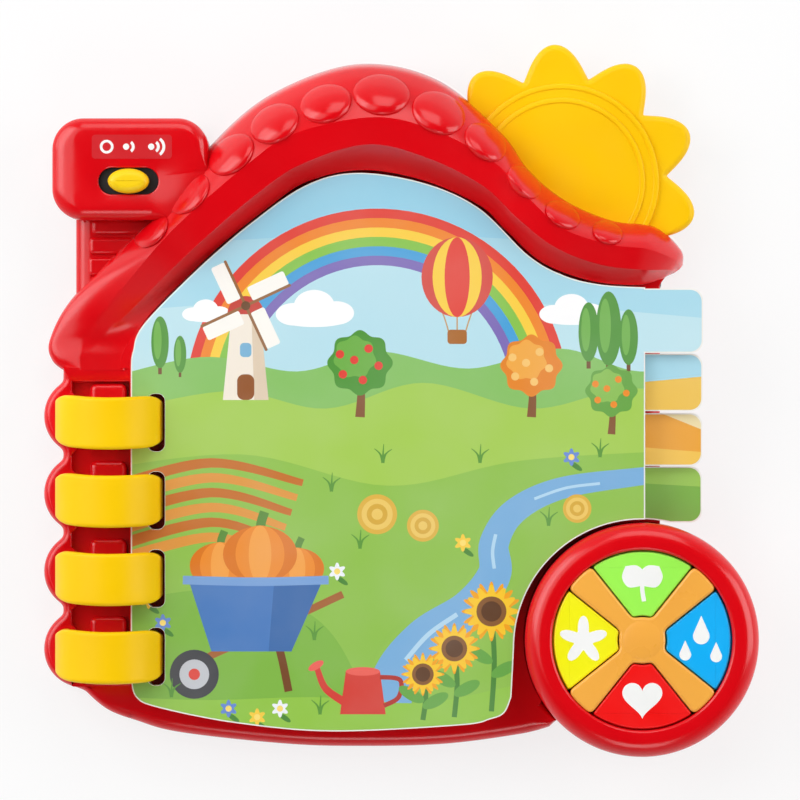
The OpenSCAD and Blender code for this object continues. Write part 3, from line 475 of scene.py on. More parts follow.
def on_roof(plan):
    """The roof's skin above plan points near each other: Newton steps from the grid point nearest their
    mean."""
    grid = np.linalg.norm(roof_top[..., :2] - plan.mean((0, 1)), axis=2)
    row, column = np.unravel_index(grid.argmin(), grid.shape)
    s, t = along[row], across[column]
    step = 0.01
    here, ahead, up = roof_points(np.array([s, s + step, s]), np.array([t, t, t + step]))[:, :2]
    to_plan = np.stack([(ahead - here) / step, (up - here) / step], -1)
    found = np.broadcast_to([s, t], plan.shape)
    for _ in range(6):
        skin = roof_points(found[..., 0], found[..., 1])
        found = found + (plan - skin[..., :2]) @ np.linalg.inv(to_plan).T
        found = np.clip(found, [s - 2, 0.01], [s + 2, 1.9])
    return roof_points(found[..., 0], found[..., 1])


def tile_shape(number):
    """A half ellipsoid on the roof's skin: polar angle from the top, turn round it, and the skin's own slope
    below."""
    x, y, half_length, half_width = tiles[number]
    line = np.array([tile[:2] for tile in tiles])
    axis = line[min(number + 1, len(tiles) - 1)] - line[max(number - 1, 0)]
    axis = axis / np.linalg.norm(axis)
    polar, turn = np.radians(np.meshgrid(np.linspace(90, 0, 14), np.arange(0, 360, 6), indexing="ij"))
    a = half_length * np.sin(polar) * np.cos(turn)
    b = half_width * np.sin(polar) * np.sin(turn)
    dome = on_roof(np.array([x, y]) + a[..., None] * axis + b[..., None] * np.array([-axis[1], axis[0]]))
    dome[..., 2] += tile_rise * np.cos(polar)
    root = dome[:1] - [0, 0, tile_root]
    return stack(np.concatenate([root, dome]))


make_piece("roof_tiles", joined(*map(tile_shape, range(len(tiles)))), red_abs, "base")

# Chimney: a hollow cap with the selector's slot in its face, on a lower stem with brick courses.
# It is a red ABS moulding of its own, snapped on from behind and tucked under the roof's slope.
cap_top = 33
stem_top = 17
slot_at = np.array([-95, 76.6])
slot_half = 5.8
slot_r = 4.7


def roof_edge(gap):
    """The roof's outer edge moved outwards by a gap, and its direction at each point."""
    edge = spline(roof_outer, 40)
    ahead = np.gradient(edge, axis=0)
    ahead = ahead / np.linalg.norm(ahead, axis=1)[:, None]
    return edge + gap * np.column_stack([-ahead[:, 1], ahead[:, 0]]), ahead


def clear_of_roof(outline, gap, count):
    """The longest stretch of an outline outside the roof's edge, closed along that edge at a gap from it. A
    gap below zero tucks the piece under the roof's slope."""
    edge, ahead = roof_edge(gap)
    dense = even(outline, 2400)
    nearest = np.linalg.norm(dense[:, None] - edge[::4], axis=2).argmin(1) * 4
    side = dense - edge[nearest]
    outside = ahead[nearest, 0] * side[:, 1] - ahead[nearest, 1] * side[:, 0] > 0
    starts = np.flatnonzero(outside & ~np.roll(outside, 1))
    runs = [np.roll(dense, -k, 0)[: np.argmin(np.roll(outside, -k))] for k in starts]
    run = max(runs, key=len)
    first, last = (np.linalg.norm(edge - end, axis=1).argmin() for end in (run[0], run[-1]))
    closing = edge[last:first] if last < first else edge[first:last][::-1]
    return even(np.concatenate([run, closing[2:-2]]), count)


def soft_reach(outline, gap, side, end):
    """How deep an edge is rounded: side where it faces left, end elsewhere, and hardly where the roof cuts
    it."""
    facing = inset(outline, 1) - outline
    reach = end + (side - end) * np.maximum(facing[:, 0], 0) ** 2
    from_roof = np.linalg.norm(outline[:, None] - roof_edge(gap)[0][::2], axis=2).min(1)
    return np.clip((from_roof - 0.5) / 5, 0.03, 1) * reach


def slot_edge(turn, grow):
    """The selector slot's edge, grown, in each direction from its middle: a straight side or a round end."""
    c, s = np.abs(np.cos(turn)), np.abs(np.sin(turn))
    r = slot_r + grow
    flat = r / np.maximum(s, 1e-6)
    end = slot_half * c + np.sqrt(np.maximum(r**2 - (slot_half * s) ** 2, 0))
    return np.where(flat * c <= slot_half, flat, end)


tuck = -6
cap = clear_of_roof(rounded(-121.8, 63, -67, 98.7, 11, 90), tuck, 480)
cap_loops = rounded_edge(cap, seam, cap_top, 4.2, soft_reach(cap, tuck, 2.2, 1.15), 12)

# From the face down: the slot's round lip, its wall, and a wider hollow that the shutter slides in
turn = np.arctan2(*(cap_loops[-1][:, :2] - slot_at).T[::-1])
for grow, depth in ((0.6, 0), (0.15, 0.2), (0, 0.6), (0, wall), (7.4, wall), (7.4, 7)):
    edge = slot_edge(turn, grow)[:, None] * np.column_stack([np.cos(turn), np.sin(turn)])
    cap_loops.append(at_level(slot_at + edge, cap_top - depth))
stem = clear_of_roof(np.array([[-84, 30], [-84, 66], [-114, 66], [-114, 30]]), tuck, 300)
stem_shape = stack(rounded_edge(stem, seam, stem_top, 3.4, soft_reach(stem, tuck, 1.5, 0.1)))
courses = []
for y0, y1, x0 in ((58.2, 63.5, -108.4), (51.2, 57.2, -109.2), (43.6, 50.2, -109.6)):
    course = clear_of_roof(rounded(x0, y0, -80, y1, 1.6), tuck, 200)
    course_reach = soft_reach(course, tuck, 1, 1)
    courses.append(stack(rounded_edge(course, stem_top - 2, stem_top + 1.5, 1.3, course_reach)))
chimney_shape = joined(stack(cap_loops), stem_shape, *courses)
make_piece("chimney", chimney_shape, red_abs, "base", ["chimney_shell"])

# Sun: a flat yellow ABS moulding with ten round petals and a raised plate with two fine rims.
# It is snapped behind the roof, which cuts it off.
sun_at = np.array([56.7, 76.8])
sun_tuck = -3
petal_root_r = 37.2
petal_length = 11
petal_top = 20
sun_top = 21.5

# A satin mould gives broad, faint highlights, so that the yellow stays deep
sun_yellow = moulded_plastic("satin_yellow_abs", "#FFC902", 0.38, specular=0.2)
angle = np.radians(np.arange(0, 360, 0.5))
petal_reach = petal_root_r + petal_length * ((1 + np.cos(10 * (angle - np.radians(21)))) / 2) ** 0.6
petals = sun_at + petal_reach[:, None] * np.column_stack([np.cos(angle), np.sin(angle)])
petals = clear_of_roof(petals, sun_tuck, 900)
sun_parts = [stack(rounded_edge(petals, seam, petal_top, 2.6, soft_reach(petals, sun_tuck, 0.8, 0.8)))]
for radius, top in ((34.3, sun_top), (29.4, sun_top + 0.5)):
    rim = ((0, petal_top - 1), (0, top - 0.7), (0.2, top - 0.2), (0.7, top), (1.6, top), (2.1, top - 0.4))
    plate = []
    for d, z in rim:
        circle = arc(sun_at, radius - d, 0, 360, 360)[:-1]
        plate.append(at_level(clear_of_roof(circle, sun_tuck + d, 600), z))
    sun_parts.append(stack(plate))
make_piece("sun", joined(*sun_parts), sun_yellow, "base", ["sun_front"])

# Rings: open yellow polypropylene bands whose ends stand in the spine and pass through the pages'
# slots. They are moulded with full round edges, so that small fingers can follow them.
ring_axis = np.array([-102, 24.575])
ring_r = 18.9
ring_t = 3
ring_band = 18.2
ring_dip = 32
ring_outer_edge = 1.2
ring_inner_edge = 0.5

# Polypropylene is waxy: a wide, weak sheen over an even yellow
ring_yellow = moulded_plastic("satin_yellow_polypropylene", "#FFCB00", 0.42, specular=0.15)


def ring_shape(y):
    """A band with round edges, carried on a circle about the spine from ring_dip degrees below level to the
    other side. Its ends lean up the book by the square of their cosine and narrow by its twelfth power."""
    half = ring_band / 2
    outer, inner = ring_outer_edge, ring_inner_edge
    section = np.concatenate([arc((half - outer, ring_t - outer), outer, 0, 90, 6),
                              arc((outer - half, ring_t - outer), outer, 90, 180, 6),
                              arc((inner - half, inner), inner, 180, 270, 3),
                              arc((half - inner, inner), inner, 270, 360, 3)])
    section = even(section, 72)
    swing = np.radians(np.linspace(-ring_dip, 180 + ring_dip, 73))[:, None]
    radius = ring_r - ring_t + section[:, 1]
    x = ring_axis[0] + radius * np.cos(swing)
    z = ring_axis[1] + radius * np.sin(swing)
    side = np.cos(swing)
    lean = np.where(side < 0, 1.4, 0.9) * side**2
    narrow = 1 - 0.22 * side**12
    return stack(np.stack([x, y + lean + section[:, 0] * narrow, z], -1))


for k, y in enumerate(ring_ys, 1):
    make_piece(f"ring_band_{k}", ring_shape(y), ring_yellow, "base", [f"ring_{k}"])

# Keypad: a round red ABS bezel over four sprung quarter keys, parted by an orange cross whose hub
# and arms lie over the keys' edges. The cross is of a milky, slightly clear plastic.
bezel_top = 36
bezel_edge = 6
lip_r = 31.5
lip_z = 31
lip_edge = 1.2
hub_r = 8.2
hub_plate_r = 7.6
arm_w = 10.4
arm_end = 27.7
arm_root = 0.2 * arm_w
arm_taper = (arm_w / 2 - arm_root) / arm_end


def turned(profile, centre, count=160):
    """A profile of (radius, height) points, turned once round an upright axis."""
    swing = np.linspace(0, 2 * np.pi, count, endpoint=False)
    ring = np.column_stack([np.cos(swing), np.sin(swing)])
    return [at_level(centre + radius * ring, z) for radius, z in profile]


bezel_foot = [[bezel_r - wall, lip_z], [bezel_r - wall, seam], [bezel_r, seam]]
bezel_side = arc((bezel_r - bezel_edge, bezel_top - bezel_edge), bezel_edge, 0, 90, 14)
bezel_lip = arc((lip_r + lip_edge, bezel_top - lip_edge), lip_edge, 90, 180, 6)
bezel = np.concatenate([bezel_foot, bezel_side, bezel_lip, [[lip_r, lip_z], [bezel_r - wall, lip_z]]])
bezel_shape = stack(turned(bezel, keypad), caps=False)
make_piece("keypad_bezel", bezel_shape, red_abs, "base", ["button_bezel"])


def turn_by(outline, degrees):
    """A flat outline turned about the origin."""
    c, s = np.cos(np.radians(degrees)), np.sin(np.radians(degrees))
    return outline @ np.array([[c, s], [-s, c]])


def softened(outline, width, count):
    """A closed outline with its corners rounded: a moving average over width millimetres of its length."""
    points = even(outline, count)
    length = np.linalg.norm(points - np.roll(points, 1, 0), axis=1).sum()
    half = max(int(width / length * count / 2), 1)
    weight = np.hanning(2 * half + 3)[1:-1]
    wide = np.concatenate([points[-half:], points, points[:half]])
    return np.column_stack([np.convolve(wide[:, k], weight / weight.sum(), "valid") for k in (0, 1)])


def cross_reach(angle):
    """The cross's radius at each angle: the hub, or the nearest arm's sloping side or its end at the lip."""
    off = np.abs(angle % (np.pi / 2) - np.pi / 4)
    lean = np.sin(off) - arm_taper * np.cos(off)
    side = np.where(lean > 1e-3, arm_root / np.maximum(lean, 1e-3), 1e3)
    return np.maximum(hub_r, np.minimum(side, lip_r - 0.1))


# Milky plastic has an uneven depth of colour under small, clear highlights
cross_orange = moulded_plastic("milky_orange_plastic", "#FFB046", 0.3, shade=0.09)
angle = np.radians(np.arange(0, 360, 0.25))
cross = keypad + cross_reach(angle)[:, None] * np.column_stack([np.cos(angle), np.sin(angle)])
cross_loops = rounded_edge(softened(cross, 6, 720), lip_z + 0.3, lip_z + 4.8, 1)
hub_dome = np.radians(np.linspace(90, 0, 12))[:-1]
hub = [(hub_plate_r * np.sin(a), lip_z + 4.4 + 0.9 * np.cos(a)) for a in hub_dome]
cross_shape = joined(stack(cross_loops), stack(turned([(hub_plate_r, lip_z + 4), *hub], keypad, 96)))
make_piece("keypad_cross", cross_shape, cross_orange, "base", ["button_cross"])

# Keys: four satin ABS wedges, each with a flange under the bezel's lip and a plunger over the
# silicone domes. A white sign is pad-printed on each.
button_r = 31.2
button_top = 35
button_gap = 0.4
flange_foot = 29.25
flange_top = 30.85
plunger_r = 4
plunger_foot = 27.85
plunger_at = 19.5
sign_at = 20.6
sign_z = button_top + 0.05


def wedge(inner, outer):
    """The outline between two arms, an inner and an outer radius, for the key that points up the book."""
    side = arm_root + button_gap
    apex = np.array([0, np.sqrt(2) * side / (1 - arm_taper)])
    along_side = np.array([1 - arm_taper, 1 + arm_taper]) / np.sqrt(2 + 2 * arm_taper**2)
    start = apex @ along_side
    near, far = (apex + along_side * (np.sqrt(start**2 - apex @ apex + r**2) - start) for r in (inner, outer))
    inner_end, outer_end = (np.degrees(np.arctan2(p[1], p[0])) for p in (near, far))
    return np.concatenate([arc((0, 0), outer, outer_end, 180 - outer_end, 60),
                           arc((0, 0), inner, 180 - inner_end, inner_end, 30)])


def ellipse(x, y, rx, ry=None, turn=0, steps=36):
    """An ellipse round (x, y), turned by degrees."""
    return turn_by(arc((0, 0), 1, 0, 360, steps)[:-1] * [rx, ry or rx], turn) + [x, y]


def ribbon(points, width, ends=None):
    """A band along a curve, as wide as width or running from width to ends."""
    path = spline(points, 10)
    ahead = np.gradient(path, axis=0)
    side = np.column_stack([-ahead[:, 1], ahead[:, 0]]) / np.linalg.norm(ahead, axis=1)[:, None]
    half = np.linspace(width, width if ends is None else ends, len(path))[:, None] / 2
    return np.concatenate([path - half * side, (path + half * side)[::-1]])


def star(x, y, tips, outer, inner):
    """Rounded tips about (x, y), one of them upwards, from a cosine between the two radii."""
    angle = np.radians(np.linspace(0, 360, 12 * tips, endpoint=False))
    reach = inner + (outer - inner) * (1 + np.cos(tips * (angle - np.pi / 2))) / 2
    return np.column_stack([x + reach * np.cos(angle), y + reach * np.sin(angle)])


def heart(size):
    """The plane curve x = 16 sin^3, y = 13 cos - 5 cos 2 - 2 cos 3 - cos 4, size millimetres wide."""
    a = np.linspace(0, 2 * np.pi, 60, endpoint=False)
    y = 13 * np.cos(a) - 5 * np.cos(2 * a) - 2 * np.cos(3 * a) - np.cos(4 * a)
    return np.column_stack([16 * np.sin(a) ** 3, y])[::-1] * size / 32


leaf_side = [[0, -1], [4.6, 2], [4.2, 7], [0, 10]]
other_side = [[-x, y] for x, y in leaf_side[::-1]]
leaf = np.concatenate([spline(leaf_side), spline(other_side)[1:-1]])
drop = np.concatenate([arc((0, 0), 3.4, -200, 20, 30), [[0, 8.4]]])
key_signs = {
    "green": [turn_by(leaf, 38) * 0.8 + [-1, -1], turn_by(leaf, -38) * 0.8 + [1, -1],
              ribbon([[0, 1], [0, -3], [0.6, -7]], 1.5)],
    "blue": [drop * 0.85 + [0, 1.5], drop * 0.6 + [-5.6, -5], drop * 0.6 + [5.2, -5.6]],
    "red": [heart(14) + [0, 0.5]],
    "yellow": [star(0, 0, 5, 8.6, 3.4)],
}

# Pad print is an opaque, dull white; the keys' satin mould gives an even, clean colour with a soft sheen
sign_white = moulded_plastic("white_pad_print", "#FBFBF8", 0.45)
key_colours = {"green": "#A2FF55", "blue": "#08B4FF", "red": "#FA0A08", "yellow": "#FFF80A"}
for name, turn in (("green", 0), ("blue", -90), ("red", 180), ("yellow", 90)):
    satin = moulded_plastic(f"satin_{name}_abs", key_colours[name], 0.36)
    cap_edge = turn_by(wedge(hub_r + button_gap, button_r - button_gap / 2), turn) + keypad
    cap_loops = rounded_edge(softened(cap_edge, 3.4, 360), flange_foot, button_top, 0.9, 0.7)
    flange = even(turn_by(wedge(button_r - 5, button_r + 2), turn) + keypad, 200)
    plunger_middle = turn_by(np.array([0, plunger_at]), turn) + keypad
    plunger = turned([(plunger_r, plunger_foot), (plunger_r, flange_foot + 1)], plunger_middle, 40)
    key = joined(stack(cap_loops), stack([at_level(flange, flange_foot), at_level(flange, flange_top)]),
                 stack(plunger))
    make_piece(f"key_{name}", key, satin, f"button_{name}", [f"button_{name}"])
    middle = turn_by(np.array([0, sign_at]), turn) + keypad
    signs = [stack([at_level(sign + middle, button_top - 0.1), at_level(sign + middle, sign_z + 0.02 * k)])
             for k, sign in enumerate(key_signs[name])]
    make_piece(f"sign_{name}", joined(*signs), sign_white, f"button_{name}")

# Selector: an oval knob of yellow ABS on a shutter that slides behind the chimney's face, and a
# printed film above it that shows its three places: off, soft and loud. The shutter's near black is
# painted shade: it stands for the shadow in the slot around the knob.
knob_l = 14.4
knob_w = 8.7
knob_foot = cap_top - 2.4
shutter_foot = cap_top - 3.7
shutter_half = np.array([13.4, 5])
film_y = 88.6

# The knob is as satin as the keys, with less shine. The shutter's dull black is painted shade for
# the slot's shadow; the same black is the real epoxy resin of the chips, sensors and switch
knob_yellow = moulded_plastic("satin_yellow_knob_abs", "#FFD414", 0.34, specular=0.25)
shade_and_resin_black = moulded_plastic("black_epoxy_and_painted_shade", "#151517", 0.45)
knob_edge = ellipse(*slot_at, knob_l / 2, knob_w / 2, 0, 120)
knob_loops = rounded_edge(knob_edge, knob_foot, cap_top + 3.4, 2.6, 1.1, 10)
make_piece("knob", stack(knob_loops), knob_yellow, "selector_knob", ["selector_knob"])
# The shutter is near black so that the slot round the knob looks shadowed: painted shade
shutter = rounded(*(slot_at - shutter_half), *(slot_at + shutter_half), 1)
shutter_shape = stack([at_level(shutter, shutter_foot), at_level(shutter, knob_foot)])
make_piece("knob_painted_shade_shutter", shutter_shape, shade_and_resin_black, "selector_knob")

# Polyester film is flat and even, with a finer texture than a mould gives
film_red = moulded_plastic("printed_polyester_film", "#D3101B", 0.4, 0.004)
film = rounded(-107.8, 84.4, -79.8, 92.8, 1.2)
film_shape = stack([at_level(film, cap_top - 0.38), at_level(film, cap_top + 0.06)])
make_piece("label", film_shape, film_red, "base", ["selector_label"])


def sound_wave(x, size):
    """A bow of a third of a circle, opening to the left."""
    centre = (x - size, film_y)
    return np.concatenate([arc(centre, size, -55, 55, 12), arc(centre, size - 1, 55, -55, 12)])


# The ring for off stays open by one degree, so that its two edges make one outline
off_at = (-102.6, film_y)
film_marks = [np.concatenate([arc(off_at, 2.4, -90, 269, 30), arc(off_at, 1.5, 269, -90, 30)])]
for x, waves in ((-94.4, 1), (-85.6, 2)):
    film_marks.append(ellipse(x - 1.4, film_y, 1.1))
    film_marks += [sound_wave(x + 1.6 + 1.9 * k, 2.4 + 1.4 * k) for k in range(waves)]
film_marks = [stack([at_level(mark, cap_top), at_level(mark, cap_top + 0.09)]) for mark in film_marks]
make_piece("label_marks", joined(*film_marks), sign_white, "base")

# Pages: four thick pale boards, printed and varnished on both sides, die-cut with a thumb tab and
# four slots for the rings. Each hides a small magnet that tells the sensors which page is open.
page_t = 3
ink_t = 0.06
ink_margin = 0.45
page_zs = [28.1, 24.75, 21.4, 18.05]
page_left = -94.2
page_right = 85.8
page_top_curve = [[page_left, 12], [-93.5, 17], [-89.6, 26.6], [-70, 46.6], [-51, 62.8], [-32.6, 75.3],
                  [-15, 79.5], [8, 76], [27.5, 67.2], [45, 50.5], [57.8, 43.4], [70.4, 40.4],
                  [page_right, 39.4]]
page_bottom_curve = [[39, -104], [36.5, -109.5], [31.5, -111.8], [20.6, -113.9], [-24, -116], [-58, -113],
                     [-85, -107.6], [-92.4, -104], [page_left, -98]]
key_clear = 44.8
key_centre = keypad - [0, 2.6]
tab_ys = [[16.5, 39], [-3.9, 16.2], [-23.1, -4.6], [-43, -23.4]]
tab_root = 12
tab_reach = 20.2
tab_r = 4
page_edge = np.concatenate([spline(page_top_curve[::-1]), spline(page_bottom_curve[::-1]),
                            arc(key_centre, key_clear, 180, 91, 40),
                            [[page_right, key_centre[1] + key_clear]]])
page_slots = [rounded(-88.4, y - 9.8, -82.3, y + 10.4, 2.6) for y in ring_ys]


def board_material(name, wear):
    """Varnished board: the print colour of each face, faded by wear over 30 mm, under a soft varnish skin
    with the board's fibres, drawn at 0.6 mm so that they show."""
    material, tree, place = new_finish(name)
    ink = add_node(tree, "ShaderNodeAttribute", attribute_name="print")
    cloud = add_node(tree, "ShaderNodeTexNoise", {"Vector": place, "Scale": per_metre(30), "Detail": 3.0})
    fibre = add_node(tree, "ShaderNodeTexNoise", {"Vector": place, "Scale": per_metre(0.6), "Detail": 2.0})
    fade = add_node(tree, "ShaderNodeMapRange", {
        "Value": cloud.outputs["Fac"], "From Min": 0.35, "From Max": 0.75, "To Min": 0.0, "To Max": wear})
    tone = add_node(tree, "ShaderNodeMix", {
        0: fade.outputs["Result"], 6: ink.outputs["Color"], 7: linear("#F3F1EA")}, data_type="RGBA")
    rough = add_node(tree, "ShaderNodeMapRange", {
        "Value": cloud.outputs["Fac"], "From Min": 0.3, "From Max": 0.7, "To Min": 0.34, "To Max": 0.46})
    bump = add_node(tree, "ShaderNodeBump", {
        "Height": fibre.outputs["Fac"], "Strength": 0.2, "Distance": 0.00002})
    shader = add_node(tree, "ShaderNodeBsdfPrincipled", {
        "Base Color": tone.outputs[2], "Roughness": rough.outputs["Result"], "Normal": bump.outputs["Normal"],
        "IOR": 1.45})
    add_node(tree, "ShaderNodeOutputMaterial", {"Surface": shader.outputs[0]})
    return material


def left_turning(outline):
    """An outline in the order that runs anticlockwise: its signed area is positive."""
    after = np.roll(outline, -1, 0)
    area = (outline[:, 0] * after[:, 1] - outline[:, 1] * after[:, 0]).sum()
    return outline if area > 0 else outline[::-1]


def sheet(page, low, high, margin, paints):
    """A page's outline as a thin closed plate, cut along every painted outline: points, faces and face
    colours. Faces take the last paint that covers them."""
    y0, y1 = tab_ys[page]
    tab = rounded(page_right - tab_root, y0 + margin, page_right + tab_reach - margin, y1 - margin, tab_r)
    key_hole = arc(key_centre, key_clear + margin, 0, 360, 120)[:-1]
    board_area, tab_area, key_area, first_slot = range(4)
    loops = [inset(page_edge, margin), tab, key_hole, *[inset(slot, -0.3 * margin) for slot in page_slots]]
    first_paint = len(loops)
    loops += [left_turning(outline) for _, outline in paints]
    ends = np.cumsum([0] + [len(loop) for loop in loops])
    areas = [list(range(a, b)) for a, b in zip(ends[:-1], ends[1:])]
    corners = [Vector(p) for p in np.concatenate(loops).tolist()]
    flat, _, cells, _, _, sources = geometry.delaunay_2d_cdt(corners, [], areas, 1, 1e-4)
    kept, colours = [], []
    for cell, covers in zip(cells, sources):
        on_page = board_area in covers or (tab_area in covers and key_area not in covers)
        if on_page and not any(first_slot <= k < first_paint for k in covers):
            kept.append(list(cell))
            colours.append(linear(paints[max(covers) - first_paint][0]))
    sides = dict.fromkeys((a, b) for cell in kept for a, b in zip(cell, cell[1:] + cell[:1]))
    rim = [(a, b) for a, b in sides if (b, a) not in sides]
    count = len(flat)
    faces = kept + [[k + count for k in cell[::-1]] for cell in kept]
    faces += [[b, a, a + count, b + count] for a, b in rim]
    edge_colour = linear("#ECEAE4")
    points = np.array([[*p, high] for p in flat] + [[*p, low] for p in flat])
    return points, faces, colours + colours + [edge_colour] * len(rim)


# Colours of the pictures that come more than once
apple_red = "#E4483D"
buttercup = "#FBD24B"
daisy_white = "#F4F7FB"
cornflower = "#6C8FD8"
meadow = "#A9D05A"
water_blue = "#7DB2DE"
glint_blue = "#B7DBF2"
stem_green = "#4E8B3B"
apple_tree = ("#55993F", "#74B34F", apple_red)


def ground(points):
    """Land below a rolling line."""
    return np.concatenate([spline(points, 10), [[115, -130], [-115, -130]]])[::-1]


def cloud(x, y, size):
    """Four white puffs."""
    return [("#FFFFFF", ellipse(x + dx * size, y + dy * size, rx * size, ry * size))
            for dx, dy, rx, ry in ((-8, 0, 7, 4.4), (0, 3, 8, 6.5), (8.5, 0.5, 7, 4.6), (0, -1.6, 14, 3.4))]


def round_tree(x, y, size, dark, light, fruit):
    """A trunk, two leaf masses and fruit on them."""
    parts = [("#8A5A3A", ribbon([[x, y], [x + 0.4, y + 8 * size], [x, y + 14 * size]], 3.4 * size, 2 * size)),
             (dark, star(x, y + 19 * size, 8, 11.5 * size, 10 * size)),
             (light, star(x - 1.8 * size, y + 21 * size, 7, 7.6 * size, 6.6 * size))]
    spots = ((-6, 15), (1, 13), (6.5, 18), (-2, 20), (3, 24), (-7, 22))
    return parts + [(fruit, ellipse(x + dx * size, y + dy * size, 1.5 * size, steps=16)) for dx, dy in spots]


def poplar(x, y, size):
    """A slim tree."""
    return [("#7A5233", ribbon([[x, y], [x, y + 3], [x, y + 6 * size]], 1.8 * size)),
            ("#5B9A45", ellipse(x, y + 16 * size, 4.4 * size, 13 * size)),
            ("#79B658", ellipse(x - 1.2 * size, y + 17 * size, 2 * size, 9.5 * size))]


def pumpkin(x, y, r):
    """Three ribs and a stalk."""
    return [("#5E8F3C", ribbon([[x, y + r * 0.6], [x + 0.4, y + r], [x + 1.6, y + r * 1.35]], r * 0.3)),
            ("#E07B22", ellipse(x, y, r * 1.18, r * 0.9)), ("#F0902F", ellipse(x, y, r * 0.78, r * 0.92)),
            ("#F7A548", ellipse(x, y, r * 0.36, r * 0.92))]


def sunflower(x, foot, height, r):
    """A stem with two leaves and a head of sixteen petals."""
    y = foot + height
    return [(stem_green, ribbon([[x, foot], [x + 1, foot + height / 2], [x, y]], 1.8)),
            ("#6AAA4A", ellipse(x + 4.4, foot + height * 0.42, 5, 2.1, 28)),
            ("#6AAA4A", ellipse(x - 4, foot + height * 0.56, 5, 2.1, 150)),
            ("#F7A81B", star(x, y, 16, r, r * 0.66)), ("#FCCB2C", star(x, y, 12, r * 0.9, r * 0.6)),
            ("#8A5A2E", ellipse(x, y, r * 0.5)), ("#5F3A1D", ellipse(x, y, r * 0.34))]


def daisy(x, y, colour):
    """Six petals round a yellow eye, with a leaf."""
    return [(stem_green, ellipse(x + 1.6, y - 3.2, 2.6, 0.9, -35, 14)),
            (colour, star(x, y, 6, 3.1, 1.8)), ("#FFE27A", ellipse(x, y, 1.1, steps=14))]


def tuft(x, y, size=1.0):
    """Three blades of grass."""
    blades = []
    for dx, h in ((-3, 5), (0.3, 6.6), (3.2, 4.8)):
        stalk = [[x, y], [x + dx * 0.3 * size, y + 3 * size], [x + dx * size, y + h * size]]
        blades.append(("#5F9A3E", ribbon(stalk, 1.1 * size, 0.2)))
    return blades


# Cover: sky, rainbow, balloon, far hills, mill and trees
whole_page = ground([[-115, 120], [0, 121], [115, 120]])
cover = [("#9AD4EA", whole_page), ("#ABDCEC", ground([[-115, 52], [0, 58], [115, 50]])),
         ("#C2E6EF", ground([[-115, 30], [0, 36], [115, 28]]))]
rainbow = (apple_red, "#F28C34", buttercup, "#8CC653", "#4FA5DB", "#8271B9", "#BCE3EE")
cover += [(colour, ellipse(-8, 0, 67 - 3.3 * k, steps=90)) for k, colour in enumerate(rainbow)]
cover += cloud(-30, 30, 0.9) + cloud(60, 30, 0.75) + cloud(-68, 30, 0.55)
for dx in (-6, 0, 6):
    cover.append(("#C9A06A", ribbon([[20 + dx, 33], [20 + dx * 0.7, 28], [20 + dx * 0.5, 24]], 0.5)))
cover += [("#B0713A", rounded(16.6, 19.6, 23.4, 24.6, 1.2)), ("#D9534A", ellipse(20, 43, 12.5, 14)),
          (buttercup, ellipse(20, 43, 8.6, 14)), (apple_red, ellipse(20, 43, 4.4, 14))]
far_hills = [[-115, 4], [-70, 15], [-36, 10], [-8, 17], [24, 11], [56, 18], [84, 10], [115, 15]]
cover += [("#8CC46A", ground(far_hills))]
for x, y, size in ((66, 11, 0.8), (73, 9, 1.0), (80, 10, 0.75), (-84, 9, 0.7), (-77, 8, 0.5)):
    cover += poplar(x, y, size)
cover += [(meadow, ground([[-115, -8], [-62, 3], [-26, -3], [8, 6], [46, -3], [80, 4], [115, 0]]))]
mill_hub = [-54, 33]
mill_turns = (25, 115, 205, 295)
cover += [("#F6ECDD", np.array([[-62, 0], [-59, 30], [-49, 30], [-46, 0]])),
          ("#E2CFB6", np.array([[-51, 0], [-52, 30], [-49, 30], [-46, 0]])),
          ("#C9473C", arc((-54, 30), 6.4, 0, 180)), ("#96592F", rounded(-57, 0, -51, 9, 2.4)),
          ("#7FB6D8", rounded(-56, 15, -52, 20, 1.4))]
cover += [("#FDFAF3", turn_by(rounded(3, 0.4, 17, 5.6, 0.8), turn) + mill_hub) for turn in mill_turns]
cover += [("#9B6B42", turn_by(rounded(0, -0.5, 17.4, 0.5, 0.4), turn) + mill_hub) for turn in mill_turns]
cover += [("#6E4A2D", ellipse(*mill_hub, 1.6))]
cover += round_tree(46, -6, 0.95, "#E98B34", "#F5AE4E", "#F9C978") + round_tree(-14, -6, 1.0, *apple_tree)
cover += round_tree(74, -12, 0.8, "#6CA84B", "#8FC25B", "#F0902F")

# Cover: fields, river and hay
cover += [("#94C453", ground([[-115, -26], [-56, -19], [-4, -30], [44, -21], [115, -17]]))]
for k in range(6):
    rise = -22 - 5.2 * k
    furrow = [[-99, rise - 8], [-66, rise], [-34 - 2 * k, rise - 7]]
    cover.append((("#C9742F", "#E39B45")[k % 2], ribbon(furrow, 4.2, 2.4)))
river = [[112, -24], [82, -27], [56, -31], [40, -39], [33, -50], [33, -61], [24, -73], [8, -84], [-3, -100],
         [-4, -124]]
cover += [(water_blue, ribbon(river, 5, 17)),
          (glint_blue, ribbon([[70, -29.2], [58, -30.8], [47, -34.6]], 1)),
          (glint_blue, ribbon([[33.5, -47], [32.4, -53], [33, -59]], 1.2)),
          (glint_blue, ribbon([[20, -75], [10, -82], [2, -91]], 1.6))]
hay_bale = (("#E3B64A", 1), ("#F0CC6B", 0.78), ("#DDAF45", 0.52), ("#F0CC6B", 0.28))
for x, y, r in ((-8, -40, 7), (8, -44, 5.6), (62, -38, 5)):
    cover += [(colour, ellipse(x, y, r * share)) for colour, share in hay_bale]

